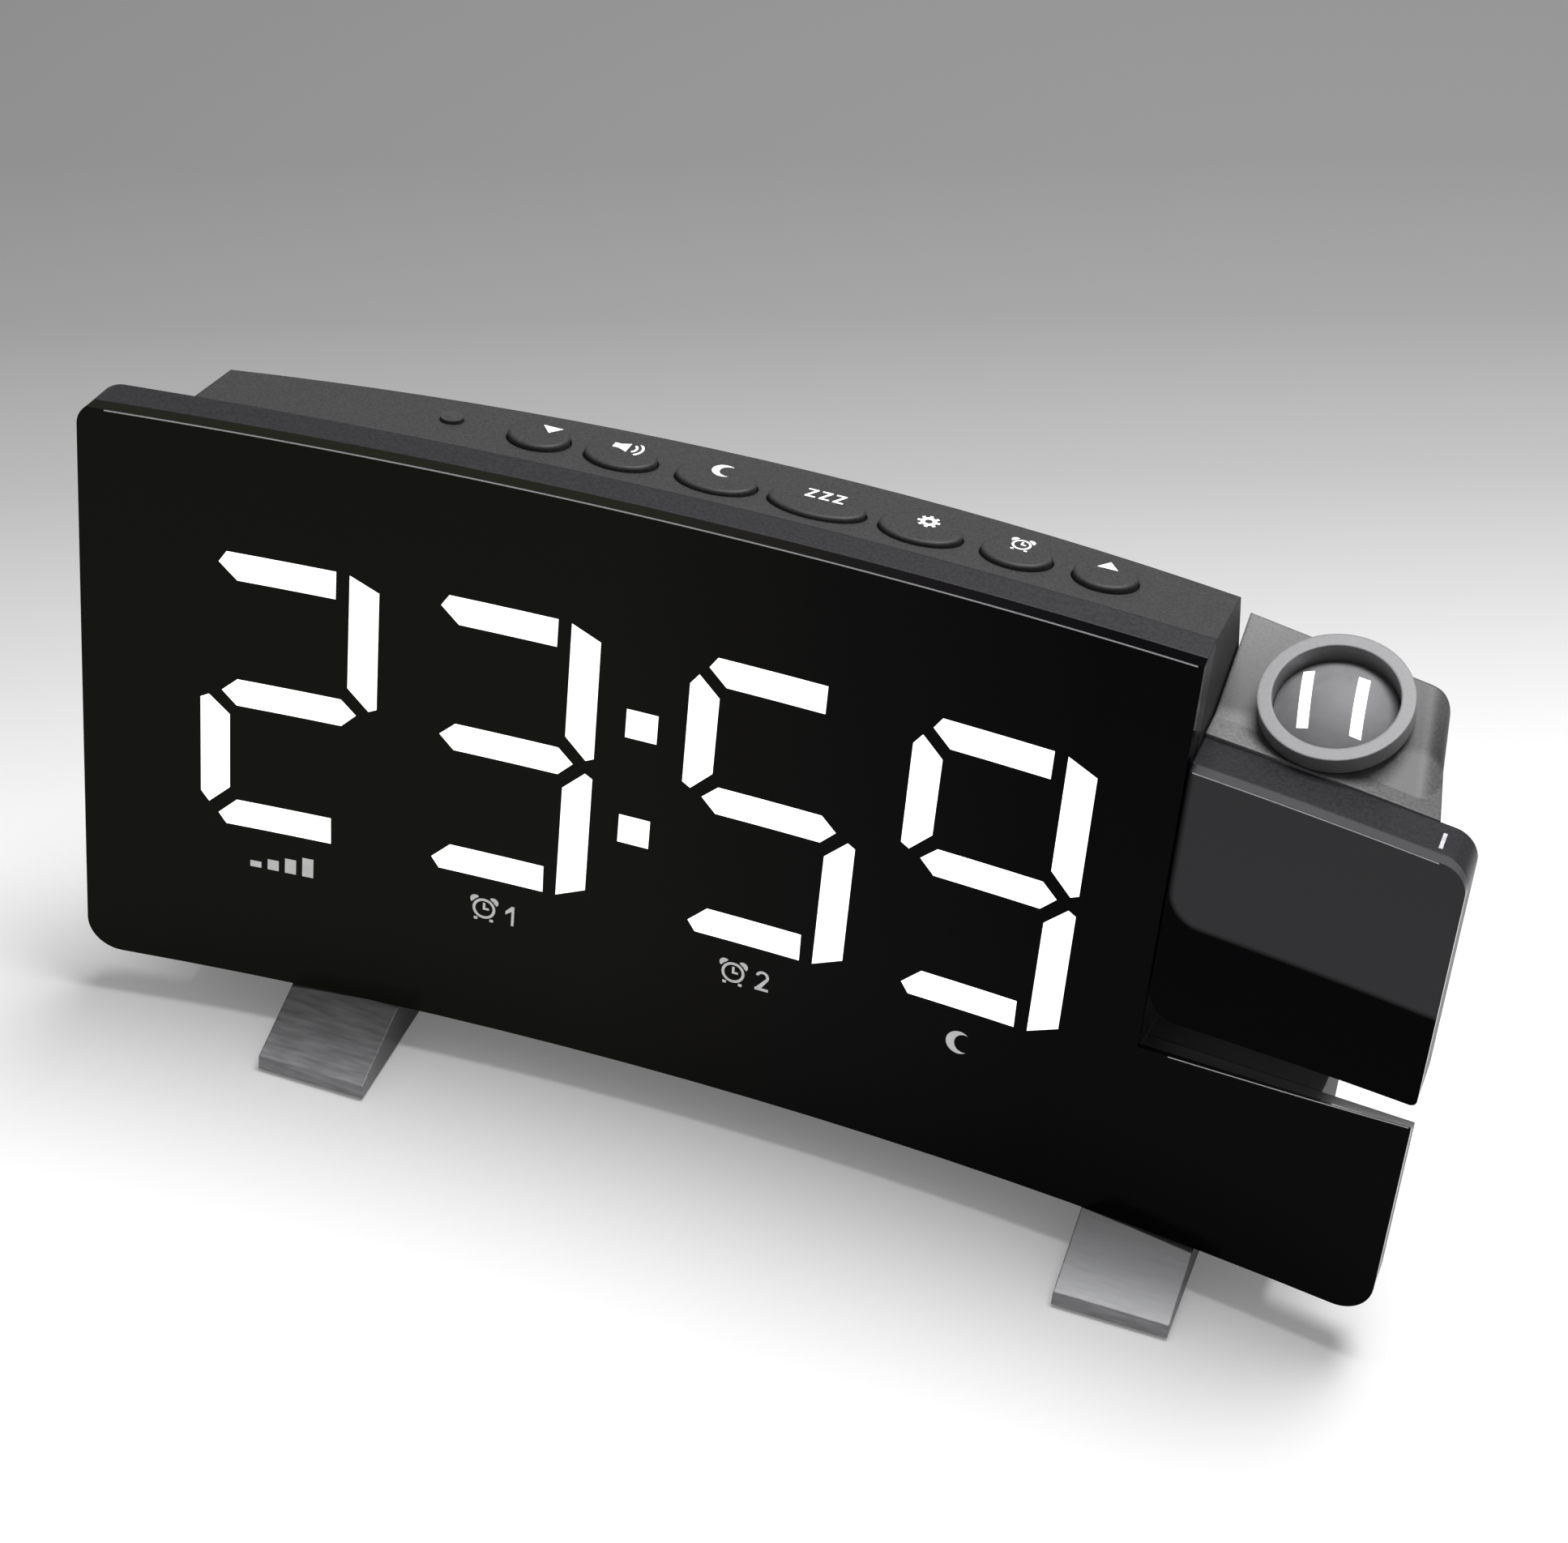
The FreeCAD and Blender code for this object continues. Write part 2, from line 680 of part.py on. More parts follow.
# Feet: wedges with a thin front tip, and rubber soles let into them
sole = "tan(lean * 1deg)"
for side, x in FEET.items():
    wedge, wedge_pad = padded(f"foot_{side}_wedge", "YZ_Plane", [
        ("-foot_start", "0"),
        ("-foot_front", f"-sole_drop - foot_front * {sole} + foot_lift + foot_tip"),
        ("-foot_front", f"-sole_drop - foot_front * {sole} + foot_lift"),
        ("foot_back", f"-sole_drop + foot_back * {sole} + foot_lift"),
        ("foot_back", "-foot_back_drop"),
        ("foot_seat", "0"),
    ], "foot_width")
    place(wedge, x)
    strips = []
    for kind, extra in (("room", "0.05"), ("pad", "0")):
        front = f"(-foot_front + pad_inset - {extra})"
        back = f"(foot_back - pad_inset + {extra})"
        strip, strip_pad = padded(f"sole_{side}_{kind}", "YZ_Plane", [
            (front, f"-sole_drop + {front} * {sole}"),
            (back, f"-sole_drop + {back} * {sole}"),
            (back, f"-sole_drop + {back} * {sole} + pad_thickness + {extra}"),
            (front, f"-sole_drop + {front} * {sole} + pad_thickness + {extra}"),
        ], f"foot_width - 2 * pad_inset + 2 * {extra}")
        place(strip, x)
        strips.append(strip)
    piece(f"foot_{side}", cut(f"foot_{side}_whole", wedge, strips[0], foot_holes))
    piece(f"sole_{side}", strips[1])

# Display unit: light wells, diffusers, lamps and their board
display_wide = "(display_right - display_left)"
display_tall = "(display_top - display_bottom)"
well_block = box("well_block", "display_left", "-20", "display_bottom", display_wide, "20 + display_back",
                 display_tall)
piece("light_wells", cut("wells", well_block, arc_block("well_front", "pane_thickness"), well_bars))
diffuser_layer = arc_shell("diffuser_layer", "pane_thickness", "pane_thickness + diffuser_thickness")
piece("segment_diffusers", common("diffusers", diffuser_layer, all_bars))
piece("display_board", box("display_board_plate", "display_left + 1", "display_back", "display_bottom - 0.5",
                           f"{display_wide} - 1.3", "board_thickness", f"{display_tall} + 1"))


def lamp_row():
    """One lamp behind the middle of every bar and of both colon dots."""
    made = []
    for digit in SHOWN:
        for segment, points in SEGMENTS.items():
            u = sum(point[0] for point in points) / len(points)
            v = sum(point[1] for point in points) / len(points)
            made.append((f"{digit}_{segment}", f"{digit} + digit_height * ({u / 100:.4f})",
                         f"digit_base + digit_height * {v / 100:.4f}"))
    for number, share in enumerate(COLON_HEIGHTS):
        made.append((f"colon_{number}", "colon_centre", f"digit_base + digit_height * {share}"))
    return [
        box(f"lamp_{label}", f"{x} - lamp_width / 2", "display_back - lamp_depth", f"{z} - lamp_width / 2",
            "lamp_width", "lamp_depth", "lamp_width")
        for label, x, z in made
    ]


piece("segment_lamps", group("lamps", *lamp_row()))

# Main board on four spacers, with its chip, crystal and capacitor
board_back = "(display_back + board_thickness)"
piece("board_spacers", group("spacers", *[
    rod(f"spacer_{number}", "y", "spacer_radius", f"main_front - {board_back}", x, board_back, z)
    for number, (x, z) in enumerate((("main_left + 6", "30"), ("main_left + 6", "68"),
                                     ("main_right - 6", "30"), ("main_right - 6", "68")))
]))
main_back = "(main_front + board_thickness)"
piece("main_board", box("main_board_plate", "main_left", "main_front", "main_bottom", "main_right - main_left",
                        "board_thickness", "key_board_height - main_bottom"))
piece("clock_chip", box("chip", "-8", "main_front - 1.6", "46", "12", "1.6", "12"))
piece("crystal", box("crystal_can", "10", "main_front - 2.4", "56", "5", "2.4", "3"))
piece("capacitor", rod("capacitor_can", "y", "3", "8", "-14", main_back, "62"))

# Key board, switches, keys and light sensor
key_deck = "(key_board_height + board_thickness)"
piece("key_board", box("key_board_plate", "key_board_left", "key_board_front", "key_board_height",
                       "key_board_right - key_board_left", "key_board_back - key_board_front",
                       "board_thickness"))
switch_top = f"({key_deck} + switch_height)"
stem_top = f"({switch_top} + stem_height)"
switches = []
for key, (x, wide) in KEYS.items():
    can = box(f"{key}_can", f"{x} - switch_side / 2", "key_depth - switch_side / 2", key_deck, "switch_side",
              "switch_side", "switch_height")
    stem = rod(f"{key}_stem", "z", "stem_radius", "stem_height + 0.2", f"{x}", "key_depth", f"{switch_top} - 0.2")
    switches.append(fuse(f"{key}_switch", can, stem))
piece("key_switches", group("switches", *switches))
roof = f"({top} - (key_depth - frame_depth) / (back_top_depth - frame_depth) * (top_rise + back_top_fall))"
under_roof = f"({top} - housing_wall - (key_depth + key_half_depth) / 18 * 1.4)"
for key, (x, wide) in KEYS.items():
    post = rod(f"{key}_post", "z", "stem_radius + 0.3", f"{under_roof} - {stem_top} - 1", f"{x}", "key_depth",
               f"{stem_top} + key_travel + 0.1")
    flange = oval(f"{key}_flange", f"{x}", f"{wide} / 2 + key_flange", "key_half_depth + key_flange",
                  f"{under_roof} - 0.4 - key_flange_thickness", "key_flange_thickness")
    cap_blank = oval(f"{key}_cap", f"{x}", f"{wide} / 2", "key_half_depth", f"{under_roof} - 1",
                     f"{roof} + key_proud - {under_roof} + 1")
    doc.recompute()
    crown = max(range(len(cap_blank.Shape.Edges)), key=lambda i: cap_blank.Shape.Edges[i].CenterOfMass.z)
    cap = doc.addObject("Part::Fillet", f"{key}_rounded")
    cap.Base = cap_blank
    cap.Edges = [(crown + 1, size("key_rounding"), size("key_rounding"))]
    piece(key, fuse(f"{key}_whole", post, flange, cap))
piece("light_sensor", rod("sensor_pipe", "z", "sensor_radius", f"{roof} + 0.3 - {key_deck}", "sensor_across",
                          "sensor_depth", key_deck))

# Speaker behind the grille
rim_front = "(speaker_face - speaker_rim)"
body_front = f"({rim_front} - speaker_body)"
speaker_at = ("speaker_across", "speaker_height")
basket = fuse(
    "basket",
    rod("basket_rim", "y", "speaker_radius", "speaker_rim", speaker_at[0], rim_front, speaker_at[1]),
    cone("basket_cone", "y", "magnet_radius", "speaker_radius - 2", "speaker_body", speaker_at[0], body_front,
         speaker_at[1]),
)
basket_room = fuse(
    "basket_room",
    cone("basket_room_cone", "y", "magnet_radius - 2", "speaker_radius - 3.5", "speaker_body", speaker_at[0],
         f"{body_front} + 1", speaker_at[1]),
    rod("basket_room_rim", "y", "speaker_radius - 3.5", "speaker_rim", speaker_at[0], rim_front + " + 1",
        speaker_at[1]),
)
piece("speaker_basket", cut("speaker_frame", basket, basket_room))
piece("speaker_cone", cut(
    "cone_shell",
    cone("cone_out", "y", "magnet_radius - 2.2", "speaker_radius - 3.7", "speaker_body", speaker_at[0],
         f"{body_front} + 1", speaker_at[1]),
    cone("cone_in", "y", "magnet_radius - 2.2", "speaker_radius - 3.7", "speaker_body", speaker_at[0],
         f"{body_front} + 1.6", speaker_at[1]),
))
piece("speaker_magnet", rod("magnet", "y", "magnet_radius", "magnet_length", speaker_at[0],
                            f"{body_front} - magnet_length", speaker_at[1]))

# Power jack
jack_block = box("jack_block", "jack_across - jack_side / 2", main_back, "jack_height - jack_side / 2", "jack_side",
                 f"back_depth - housing_wall - 0.5 - {main_back}", "jack_side")
jack_room = rod("jack_room", "y", "jack_bore", "20", "jack_across", "back_depth - 11", "jack_height")
jack_pin = rod("jack_pin_rod", "y", "jack_pin", "9", "jack_across", "back_depth - 11.5", "jack_height")
piece("power_jack", fuse("jack", cut("jack_shell", jack_block, jack_room), jack_pin))

# Dimmer switch, a slider in the back wall
dimmer_skin = "(back_depth - dimmer_across * dimmer_across / (2 * back_radius))"
piece("dimmer_body", box("dimmer_case", "dimmer_across - dimmer_body / 2", main_back,
                         "jack_height - dimmer_tall / 2", "dimmer_body",
                         f"{dimmer_skin} - housing_wall - 1 - {main_back}", "dimmer_tall"))
piece("dimmer_knob", box("dimmer_stick", "dimmer_across - dimmer_knob_width / 2",
                         f"{dimmer_skin} - housing_wall - 0.9", "jack_height - dimmer_knob_tall / 2",
                         "dimmer_knob_width", "housing_wall + 0.9 + dimmer_proud", "dimmer_knob_tall"))

# Backup coin cell in its holder on the main board
holder_block = box("holder_block", "cell_across - holder_side / 2", main_back, "cell_height - holder_side / 2",
                   "holder_side", "holder_thickness", "holder_side")
holder_room = rod("holder_room", "y", "coin_radius + 0.15", "10", "cell_across",
                  f"{main_back} + holder_thickness - coin_thickness - 0.1", "cell_height")
piece("cell_holder", cut("holder", holder_block, holder_room))
piece("coin_cell", rod("coin", "y", "coin_radius", "coin_thickness", "cell_across",
                       f"{main_back} + holder_thickness - coin_thickness - 0.1", "cell_height"))

# Projector head: front panel, frame and shell
head_outline, head_pad = padded("head_outline", "XZ_Plane", [
    ("head_left", "head_bottom_left"),
    ("head_right", "head_bottom_right"),
    ("head_right", "head_top_right"),
    ("head_left", "head_top_left"),
], REACH)
head_middle = (size("head_left + head_right") / 2, size("head_bottom_left + head_top_left") / 2)
rounded(head_outline, head_pad, [
    (lambda p, d: abs(d.y) > 0.9 and p.x < head_middle[0] and p.z < head_middle[1], "notch_corner"),
    (lambda p, d: abs(d.y) > 0.9 and p.x > head_middle[0] and p.z > head_middle[1], "corner_top"),
    (lambda p, d: abs(d.y) > 0.9 and p.x > head_middle[0] and p.z < head_middle[1], "head_corner"),
])
head_inside, head_inside_pad = padded("head_inside", "XZ_Plane", [
    ("head_left + head_wall", "head_bottom_left + head_wall * 1.5"),
    ("head_right - head_wall", "head_bottom_right + head_wall"),
    ("head_right - head_wall", "head_top_right - head_wall"),
    ("head_left + head_wall", "head_top_left - head_wall * 1.5"),
], REACH)
piece("projector_panel", common("panel", arc_shell("panel_layer", "0", "pane_thickness"), head_outline))
head_blank = common("head_blank", arc_shell("head_layer", "pane_thickness", "head_depth"), head_outline)
head_tub = common("head_tub", arc_shell("head_tub_layer", "pane_thickness - 1", "head_depth - back_plate"),
                  head_inside)
head_hole = box("head_hole", "head_left + head_wall", "-30", "head_bottom_right + 11", "shell_length - 5", "60",
                "head_top_right - head_bottom_right - 14")
HEAD_SCREWS = {"left": "(head_left + 6.5)", "right": "(head_left + 24)"}
head_screw_height = "(shell_floor + 5.6)"
head_pilots = group("head_pilots", *[
    rod(f"head_pilot_{side}", "y", "screw_radius - 0.2", "30", x, "-18", head_screw_height)
    for side, x in HEAD_SCREWS.items()
])
axle_clear = rod("axle_clear", "x", "axle_radius + 0.3", "20", "notch_left - 5", "hinge_depth", "hinge_height")
piece("projector_frame", cut("head_frame", head_blank, head_tub, head_hole, head_pilots, axle_clear))


def head_prism(name, wall):
    """The head's side view, drawn along the turned base line of its shell."""
    rise = "(crown_depth - ledge_depth) * tan(slant * 1deg)"
    body, pad = padded(name, "YZ_Plane", [
        ("-25", f"shell_floor + {wall}"),
        (f"shell_depth - 16 - {wall} * 0.2", f"shell_floor + {wall}"),
        (f"shell_depth - 5 - {wall} * 0.8", f"shell_floor + 5 + {wall} * 0.6"),
        (f"shell_depth - {wall}", f"shell_floor + 14 + {wall} * 0.3"),
        (f"shell_depth - {wall}", f"ledge_height - 4 - {wall} * 0.3"),
        (f"crown_depth - {wall} * 0.6", f"ledge_height + {rise} - {wall} * 1.2"),
        (f"ledge_depth + {wall} * 0.2", f"ledge_height - {wall}"),
        ("-25", f"ledge_height - {wall}"),
    ], REACH)
    turn = FreeCAD.Rotation(V(0, 0, 1), -size("head_turn"))
    turn = turn.multiply(FreeCAD.Rotation(V(0, 1, 0), size("shell_fall")))
    ledge = V(0, 0, size("ledge_height"))
    body.Placement = FreeCAD.Placement(V(size("head_left"), 0, 0) + ledge - turn.multVec(ledge), turn)
    return body


def head_plan(name, wall):
    """The shell's outline from above, which narrows towards its back."""
    end = f"head_left + shell_length - {wall}"
    body, pad = padded(name, "XY_Plane", [
        (f"head_left + {wall}", "-40"),
        (f"{end} + shell_taper * 40 / crown_depth", "-40"),
        (f"{end} - shell_taper * (shell_depth + 8) / crown_depth", "shell_depth + 8"),
        (f"head_left + {wall}", "shell_depth + 8"),
    ], "280")
    return body


shell_solid = common("shell_solid", head_prism("head_prism", "0"), head_plan("head_plan", "0"))
shell_room = common("shell_room", head_prism("head_prism_inside", "head_wall"),
                    head_plan("head_plan_inside", "head_wall"))
shell_sharp = cut("shell_sharp", shell_solid, arc_block("shell_front", "head_depth"))
doc.recompute()
far_end = size("head_left + shell_length - 2 * shell_taper")
shell_outer = doc.addObject("Part::Fillet", "shell_outer")
shell_outer.Base = shell_sharp
shell_outer.Edges = [
    (number, size("shell_round"), size("shell_round"))
    for number, edge in enumerate(shell_sharp.Shape.Edges, start=1)
    if edge.CenterOfMass.x > far_end and edge.CenterOfMass.y > size("head_depth")
    and abs(edge.tangentAt(edge.FirstParameter).x) < 0.5
]
shell_hollow = cut("shell_hollow", shell_outer, shell_room)
head_bosses = common("head_bosses", shell_outer, group("head_boss_rods", *[
    rod(f"head_boss_{side}", "y", "screw_boss - 0.8", "60", x, "-20", head_screw_height)
    for side, x in HEAD_SCREWS.items()
]))
head_spacer = cut(
    "head_spacer",
    rod("spacer_disc", "x", "axle_radius + 3", "head_left - notch_left - 2 * end_play + 0.5",
        "notch_left + 2 * end_play", "hinge_depth", "hinge_height"),
    arc_block("spacer_front", "head_depth"),
)
axle_room = rod("axle_room", "x", "axle_radius", "20", "notch_left - 5", "hinge_depth", "hinge_height")
head_sinks = group("head_sinks", *[
    rod(f"head_sink_{side}", "y", "head_radius - 0.2", "60", x, "screw_seat + 4", head_screw_height)
    for side, x in HEAD_SCREWS.items()
])

# Beam frame: the beam leaves the head upward and a little forward
beam_turn = FreeCAD.Rotation(V(0, 0, 1), -size("head_turn")).multiply(FreeCAD.Rotation(V(1, 0, 0), size("slant")))
lens_at = V(size("lens_across"), size("lens_depth"), size("lens_height"))


def on_beam(obj, below, side="0", back="0"):
    """Stands a primitive on the beam axis, its base below the ring's top."""
    offset = beam_turn.multVec(V(size(side), size(back), -size(below)))
    obj.Placement = FreeCAD.Placement(lens_at + offset, beam_turn)
    return obj


def beam_rod(name, radius, below, length):
    """A cylinder about the beam, from a distance below the ring's top upward."""
    obj = doc.addObject("Part::Cylinder", name)
    obj.setExpression("Radius", bind(radius))
    obj.setExpression("Height", bind(length))
    return on_beam(obj, below)


def beam_box(name, across, front, back, below, tall):
    """A box about the beam, from front to back along the slanted top."""
    obj = doc.addObject("Part::Box", name)
    obj.setExpression("Length", bind(across))
    obj.setExpression("Width", bind(f"{back} - ({front})"))
    obj.setExpression("Height", bind(tall))
    return on_beam(obj, below, f"-({across}) / 2", front)


ring_hole = beam_rod("ring_hole", "neck_radius + ring_play", "12", "20")
ring_relief = beam_rod("ring_relief", "ring_radius + 4 * ring_play", "ring_lip + 4 * ring_play", "20")
head_shell = cut("head_shell", fuse("head_shell_full", shell_hollow, head_bosses, head_spacer), head_sinks,
                 head_pilots, axle_room, ring_hole, ring_relief)
piece("projector_shell", head_shell)
plate_face = {side: f"(head_depth - back_plate - {x} * {x} / (2 * face_radius))" for side, x in HEAD_SCREWS.items()}
piece("projector_screws", group("head_screw_group", *[
    fuse(f"head_screw_{side}",
         rod(f"head_shank_{side}", "y", "screw_radius - 0.3", f"screw_seat + 4.2 - {plate_face[side]}", x,
             plate_face[side], head_screw_height),
         rod(f"head_cap_{side}", "y", "head_radius - 0.3", "head_height", x, "screw_seat + 4", head_screw_height))
    for side, x in HEAD_SCREWS.items()
]))

# Axle, clip and friction washer
axle_end = "(notch_left - housing_wall - axle_boss)"
washer_start = f"({axle_end} - end_play - washer_thickness)"
clip_start = f"({washer_start} - end_play - clip_thickness)"
axle_at = ("hinge_depth", "hinge_height")
axle_tube = rod("axle_tube", "x", "axle_radius", f"head_left + head_wall + 1.4 - {clip_start} + 0.8",
                f"{clip_start} - 0.8", *axle_at)
axle_flange = rod("axle_flange", "x", "axle_radius + 2.1", "1.4", "head_left + head_wall", *axle_at)
axle_through = rod("axle_through", "x", "axle_bore", "30", "notch_left - 20", *axle_at)
clip_groove = cut(
    "clip_groove",
    rod("groove_out", "x", "axle_radius + 1", "clip_thickness + 0.1", f"{clip_start} - 0.05", *axle_at),
    rod("groove_in", "x", "axle_radius - 0.5", "clip_thickness + 2", f"{clip_start} - 1", *axle_at),
)
piece("hinge_axle", cut("axle", fuse("axle_full", axle_tube, axle_flange), axle_through, clip_groove))
piece("axle_clip", cut(
    "clip",
    rod("clip_disc", "x", "axle_radius + 2.2", "clip_thickness", clip_start, *axle_at),
    rod("clip_hole", "x", "axle_radius - 0.46", "clip_thickness + 2", f"{clip_start} - 1", *axle_at),
    box("clip_gap", f"{clip_start} - 1", "hinge_depth - 2.5", "hinge_height - 12", "clip_thickness + 2", "5", "12"),
))
piece("friction_washer", cut(
    "washer",
    rod("washer_disc", "x", "axle_radius + 2.8", "washer_thickness", washer_start, *axle_at),
    rod("washer_hole", "x", "axle_radius + axle_play", "washer_thickness + 2", f"{washer_start} - 1", *axle_at),
))

# Focus ring, lens cell and objective
piece("focus_ring", cut(
    "ring",
    fuse("ring_full",
         beam_rod("ring_flange", "ring_radius", "ring_lip", "ring_lip"),
         beam_rod("ring_neck", "neck_radius", "neck_length", "neck_length - ring_lip + 0.2")),
    beam_rod("ring_upper", "ring_bore", "ring_lip + ring_step", "ring_lip + 2"),
    beam_rod("ring_lower", "neck_bore", "neck_length + 1", "neck_length"),
))
lens_foot = "(ring_lip + lens_set)"
piece("lens_cell", cut(
    "cell",
    beam_rod("cell_tube", "cell_radius", f"{lens_foot} + cell_length", "cell_length"),
    beam_rod("cell_room", "cell_bore", f"{lens_foot} + cell_length + 1", "cell_length + 2"),
))
dome_drop = "sqrt(dome_radius ^ 2 - lens_radius ^ 2)"
dome = doc.addObject("Part::Sphere", "dome")
dome.setExpression("Radius", bind("dome_radius"))
on_beam(dome, f"{lens_foot} + {dome_drop}")
piece("objective_lens", common("objective", dome, beam_rod("lens_edge", "lens_radius", lens_foot, "12")))

# Light tunnel with its film and condenser, over the lamp board
tunnel_end = "(tunnel_start + tunnel_length)"
tunnel_tube = beam_rod("tunnel_tube", "tunnel_radius", tunnel_end, "tunnel_length")
tunnel_room = beam_rod("tunnel_room", "tunnel_bore", f"{tunnel_end} + 1", "tunnel_length + 2")
tunnel_arm = common("tunnel_arm", beam_box("arm_bar", "60", "-4", "4", f"{tunnel_end} - 3", "2"), shell_room)
piece("light_tunnel", cut("tunnel", fuse("tunnel_full", tunnel_tube, tunnel_arm), tunnel_room))
piece("projector_film", beam_box("film", "film_side", "-film_side / 2", "film_side / 2",
                                 "tunnel_start + 2", "film_thickness"))
piece("condenser_lens", common(
    "condenser",
    beam_rod("condenser_edge", "tunnel_bore - 0.1", "tunnel_start + 6", "3"),
    on_beam(doc.addObject("Part::Sphere", "condenser_ball"), "tunnel_start + 11"),
))
doc.getObject("condenser_ball").setExpression("Radius", "8")
lamp_deck = f"({tunnel_end} + lamp_board_thickness)"
piece("lamp_board", beam_box("lamp_plate", "14", "-13.5", "6", lamp_deck, "lamp_board_thickness"))
piece("projector_lamp", beam_box("lamp_die", "3", "-1.5", "1.5", tunnel_end, "1"))
piece("projector_lead", rod("lead", "x", "lead_radius", "17", "display_right + 0.1", *axle_at))

doc.recompute()

# Stance: lean back onto the soles, then set the origin under the middle
lean_back = FreeCAD.Rotation(V(1, 0, 0), -size("lean"))
stand = FreeCAD.Placement(V(0, 0, 0), lean_back)
for holder in pieces:
    holder.Placement = stand
doc.recompute()
whole = FreeCAD.BoundBox()
for holder in pieces:
    shape = holder.Shape.copy()
    shape.tessellate(0.05)
    whole.add(shape.optimalBoundingBox(True))
shift = V(-(whole.XMin + whole.XMax) / 2, -(whole.YMin + whole.YMax) / 2, -whole.ZMin)
for holder in pieces:
    holder.Placement = FreeCAD.Placement(shift, lean_back)
doc.recompute()

# Every object has to be sound before anything is written
for obj in doc.Objects:
    for bad in ("Invalid", "Error"):
        if bad in obj.State:
            raise RuntimeError(f"{obj.Name} did not compute")
for holder in pieces:
    if holder.Shape.isNull() or not holder.Shape.isValid() or not holder.Shape.Solids:
        raise RuntimeError(f"{holder.Label} has no sound solid")
for holder in pieces:
    holder.Shape.exportStep(f"parts/{holder.Label}.step")
    print(holder.Label, len(holder.Shape.Solids), round(holder.Shape.Volume, 1))
print("size", round(whole.XLength, 2), round(whole.YLength, 2), round(whole.ZLength, 2))
print("shift", round(shift.x, 4), round(shift.y, 4), round(shift.z, 4))
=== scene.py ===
# %% [markdown]
# A projection alarm clock: a curved gloss face with white numerals, seven
# oval keys along its top, two wedge feet and a projector head that tilts at
# its right end. The solids come from the imported CAD model. This lesson lays a
# finish on every one of them, softens the edges that catch the light, and
# adds the thin printed detail that is too fine for the solids, with painted
# highlights along edges and painted glints on the lens. Some finishes carry
# painted shade and painted reflections.

import bpy
import numpy as np
from math import cos, radians, sin
from mathutils import Matrix, Vector
from mathutils.bvhtree import BVHTree


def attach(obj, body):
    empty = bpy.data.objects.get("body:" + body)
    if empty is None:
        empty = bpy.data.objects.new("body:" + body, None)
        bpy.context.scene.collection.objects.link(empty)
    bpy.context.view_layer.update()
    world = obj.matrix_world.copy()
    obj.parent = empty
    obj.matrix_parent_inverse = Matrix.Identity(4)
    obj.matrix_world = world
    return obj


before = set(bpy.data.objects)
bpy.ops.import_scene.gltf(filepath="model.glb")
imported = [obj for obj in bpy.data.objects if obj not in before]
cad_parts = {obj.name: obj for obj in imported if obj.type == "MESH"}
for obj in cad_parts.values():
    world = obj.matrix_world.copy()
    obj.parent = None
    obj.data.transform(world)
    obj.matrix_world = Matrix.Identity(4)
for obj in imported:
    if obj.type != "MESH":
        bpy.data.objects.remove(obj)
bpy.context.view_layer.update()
bpy.context.scene.view_settings.view_transform = "Standard"
MM = 0.001
print("pieces loaded:", len(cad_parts))

# %% [markdown]
# The clock was drawn square to its face and then leaned back onto its feet.
# Printed marks are easiest to lay out on the upright face, so one function
# leans a whole array of points back in the same way.

# %% The lean of the clock
LEAN = radians(7.0)
FACE_RADIUS = 541.0


def stand(points):
    """Upright points in millimetres, turned back by the lean about the x axis
    and moved so that the soles rest on the floor. Returns metres."""
    x, y, z = np.asarray(points, dtype=float).T
    back = y * cos(LEAN) + z * sin(LEAN)
    up = -y * sin(LEAN) + z * cos(LEAN)
    return np.stack([x, back, up], axis=1) * MM + SHIFT


# How far the leaned clock was moved, back and up, to rest on its soles
SHIFT = np.array([0.0, -12.9075, 6.8486]) * MM
print("shift:", SHIFT / MM)

# %% [markdown]
# The camera stands in front of the clock, to its right and well above it, with
# a long lens, as the perspective of the four numerals shows.

# %% Camera
CAMERA_PLACE = Vector((0.113345, -0.347575, 0.355805))
CAMERA_FORWARD = Vector((-0.234426, 0.735111, -0.636127))
CAMERA_UP = Vector((-0.249865, 0.586814, 0.770206))
camera_data = bpy.data.cameras.new("camera")
camera_data.lens = 81.855
camera_data.sensor_width = 36.0
camera = bpy.data.objects.new("camera", camera_data)
side = CAMERA_FORWARD.cross(CAMERA_UP).normalized()
camera.matrix_world = Matrix.Translation(CAMERA_PLACE) @ Matrix(
    (side, CAMERA_UP, -CAMERA_FORWARD)
).transposed().to_4x4()
bpy.context.scene.collection.objects.link(camera)
bpy.context.scene.camera = camera

# %% [markdown]
# Materials are small node trees. A helper starts one with a main shader, and
# another feeds a socket from noise in Object coordinates, so a pattern stays
# on the piece wherever the joints carry it.


# %% Material helpers
def finish(name, color, rough, metal=0.0, specular=0.5):
    """A principled surface whose even values sit on the shader itself."""
    made = bpy.data.materials.new(name)
    made.use_nodes = True
    shader = made.node_tree.nodes["Principled BSDF"]
    shader.inputs["Base Color"].default_value = (*color, 1.0)
    shader.inputs["Roughness"].default_value = rough
    shader.inputs["Metallic"].default_value = metal
    shader.inputs["Specular IOR Level"].default_value = specular
    return made


def node(made, kind, **settings):
    """A new node with its settings."""
    new = made.node_tree.nodes.new(kind)
    for key, value in settings.items():
        setattr(new, key, value)
    return new


def wire(made, start, end):
    made.node_tree.links.new(start, end)


def coordinates(made, stretch=(1, 1, 1)):
    """Object coordinates, stretched for grain that runs one way."""
    place = node(made, "ShaderNodeTexCoord")
    mapping = node(made, "ShaderNodeMapping")
    mapping.inputs["Scale"].default_value = stretch
    wire(made, place.outputs["Object"], mapping.inputs["Vector"])
    return mapping.outputs["Vector"]


# Noise stays mostly between these two values
NOISE_LOW = 0.3
NOISE_HIGH = 0.7


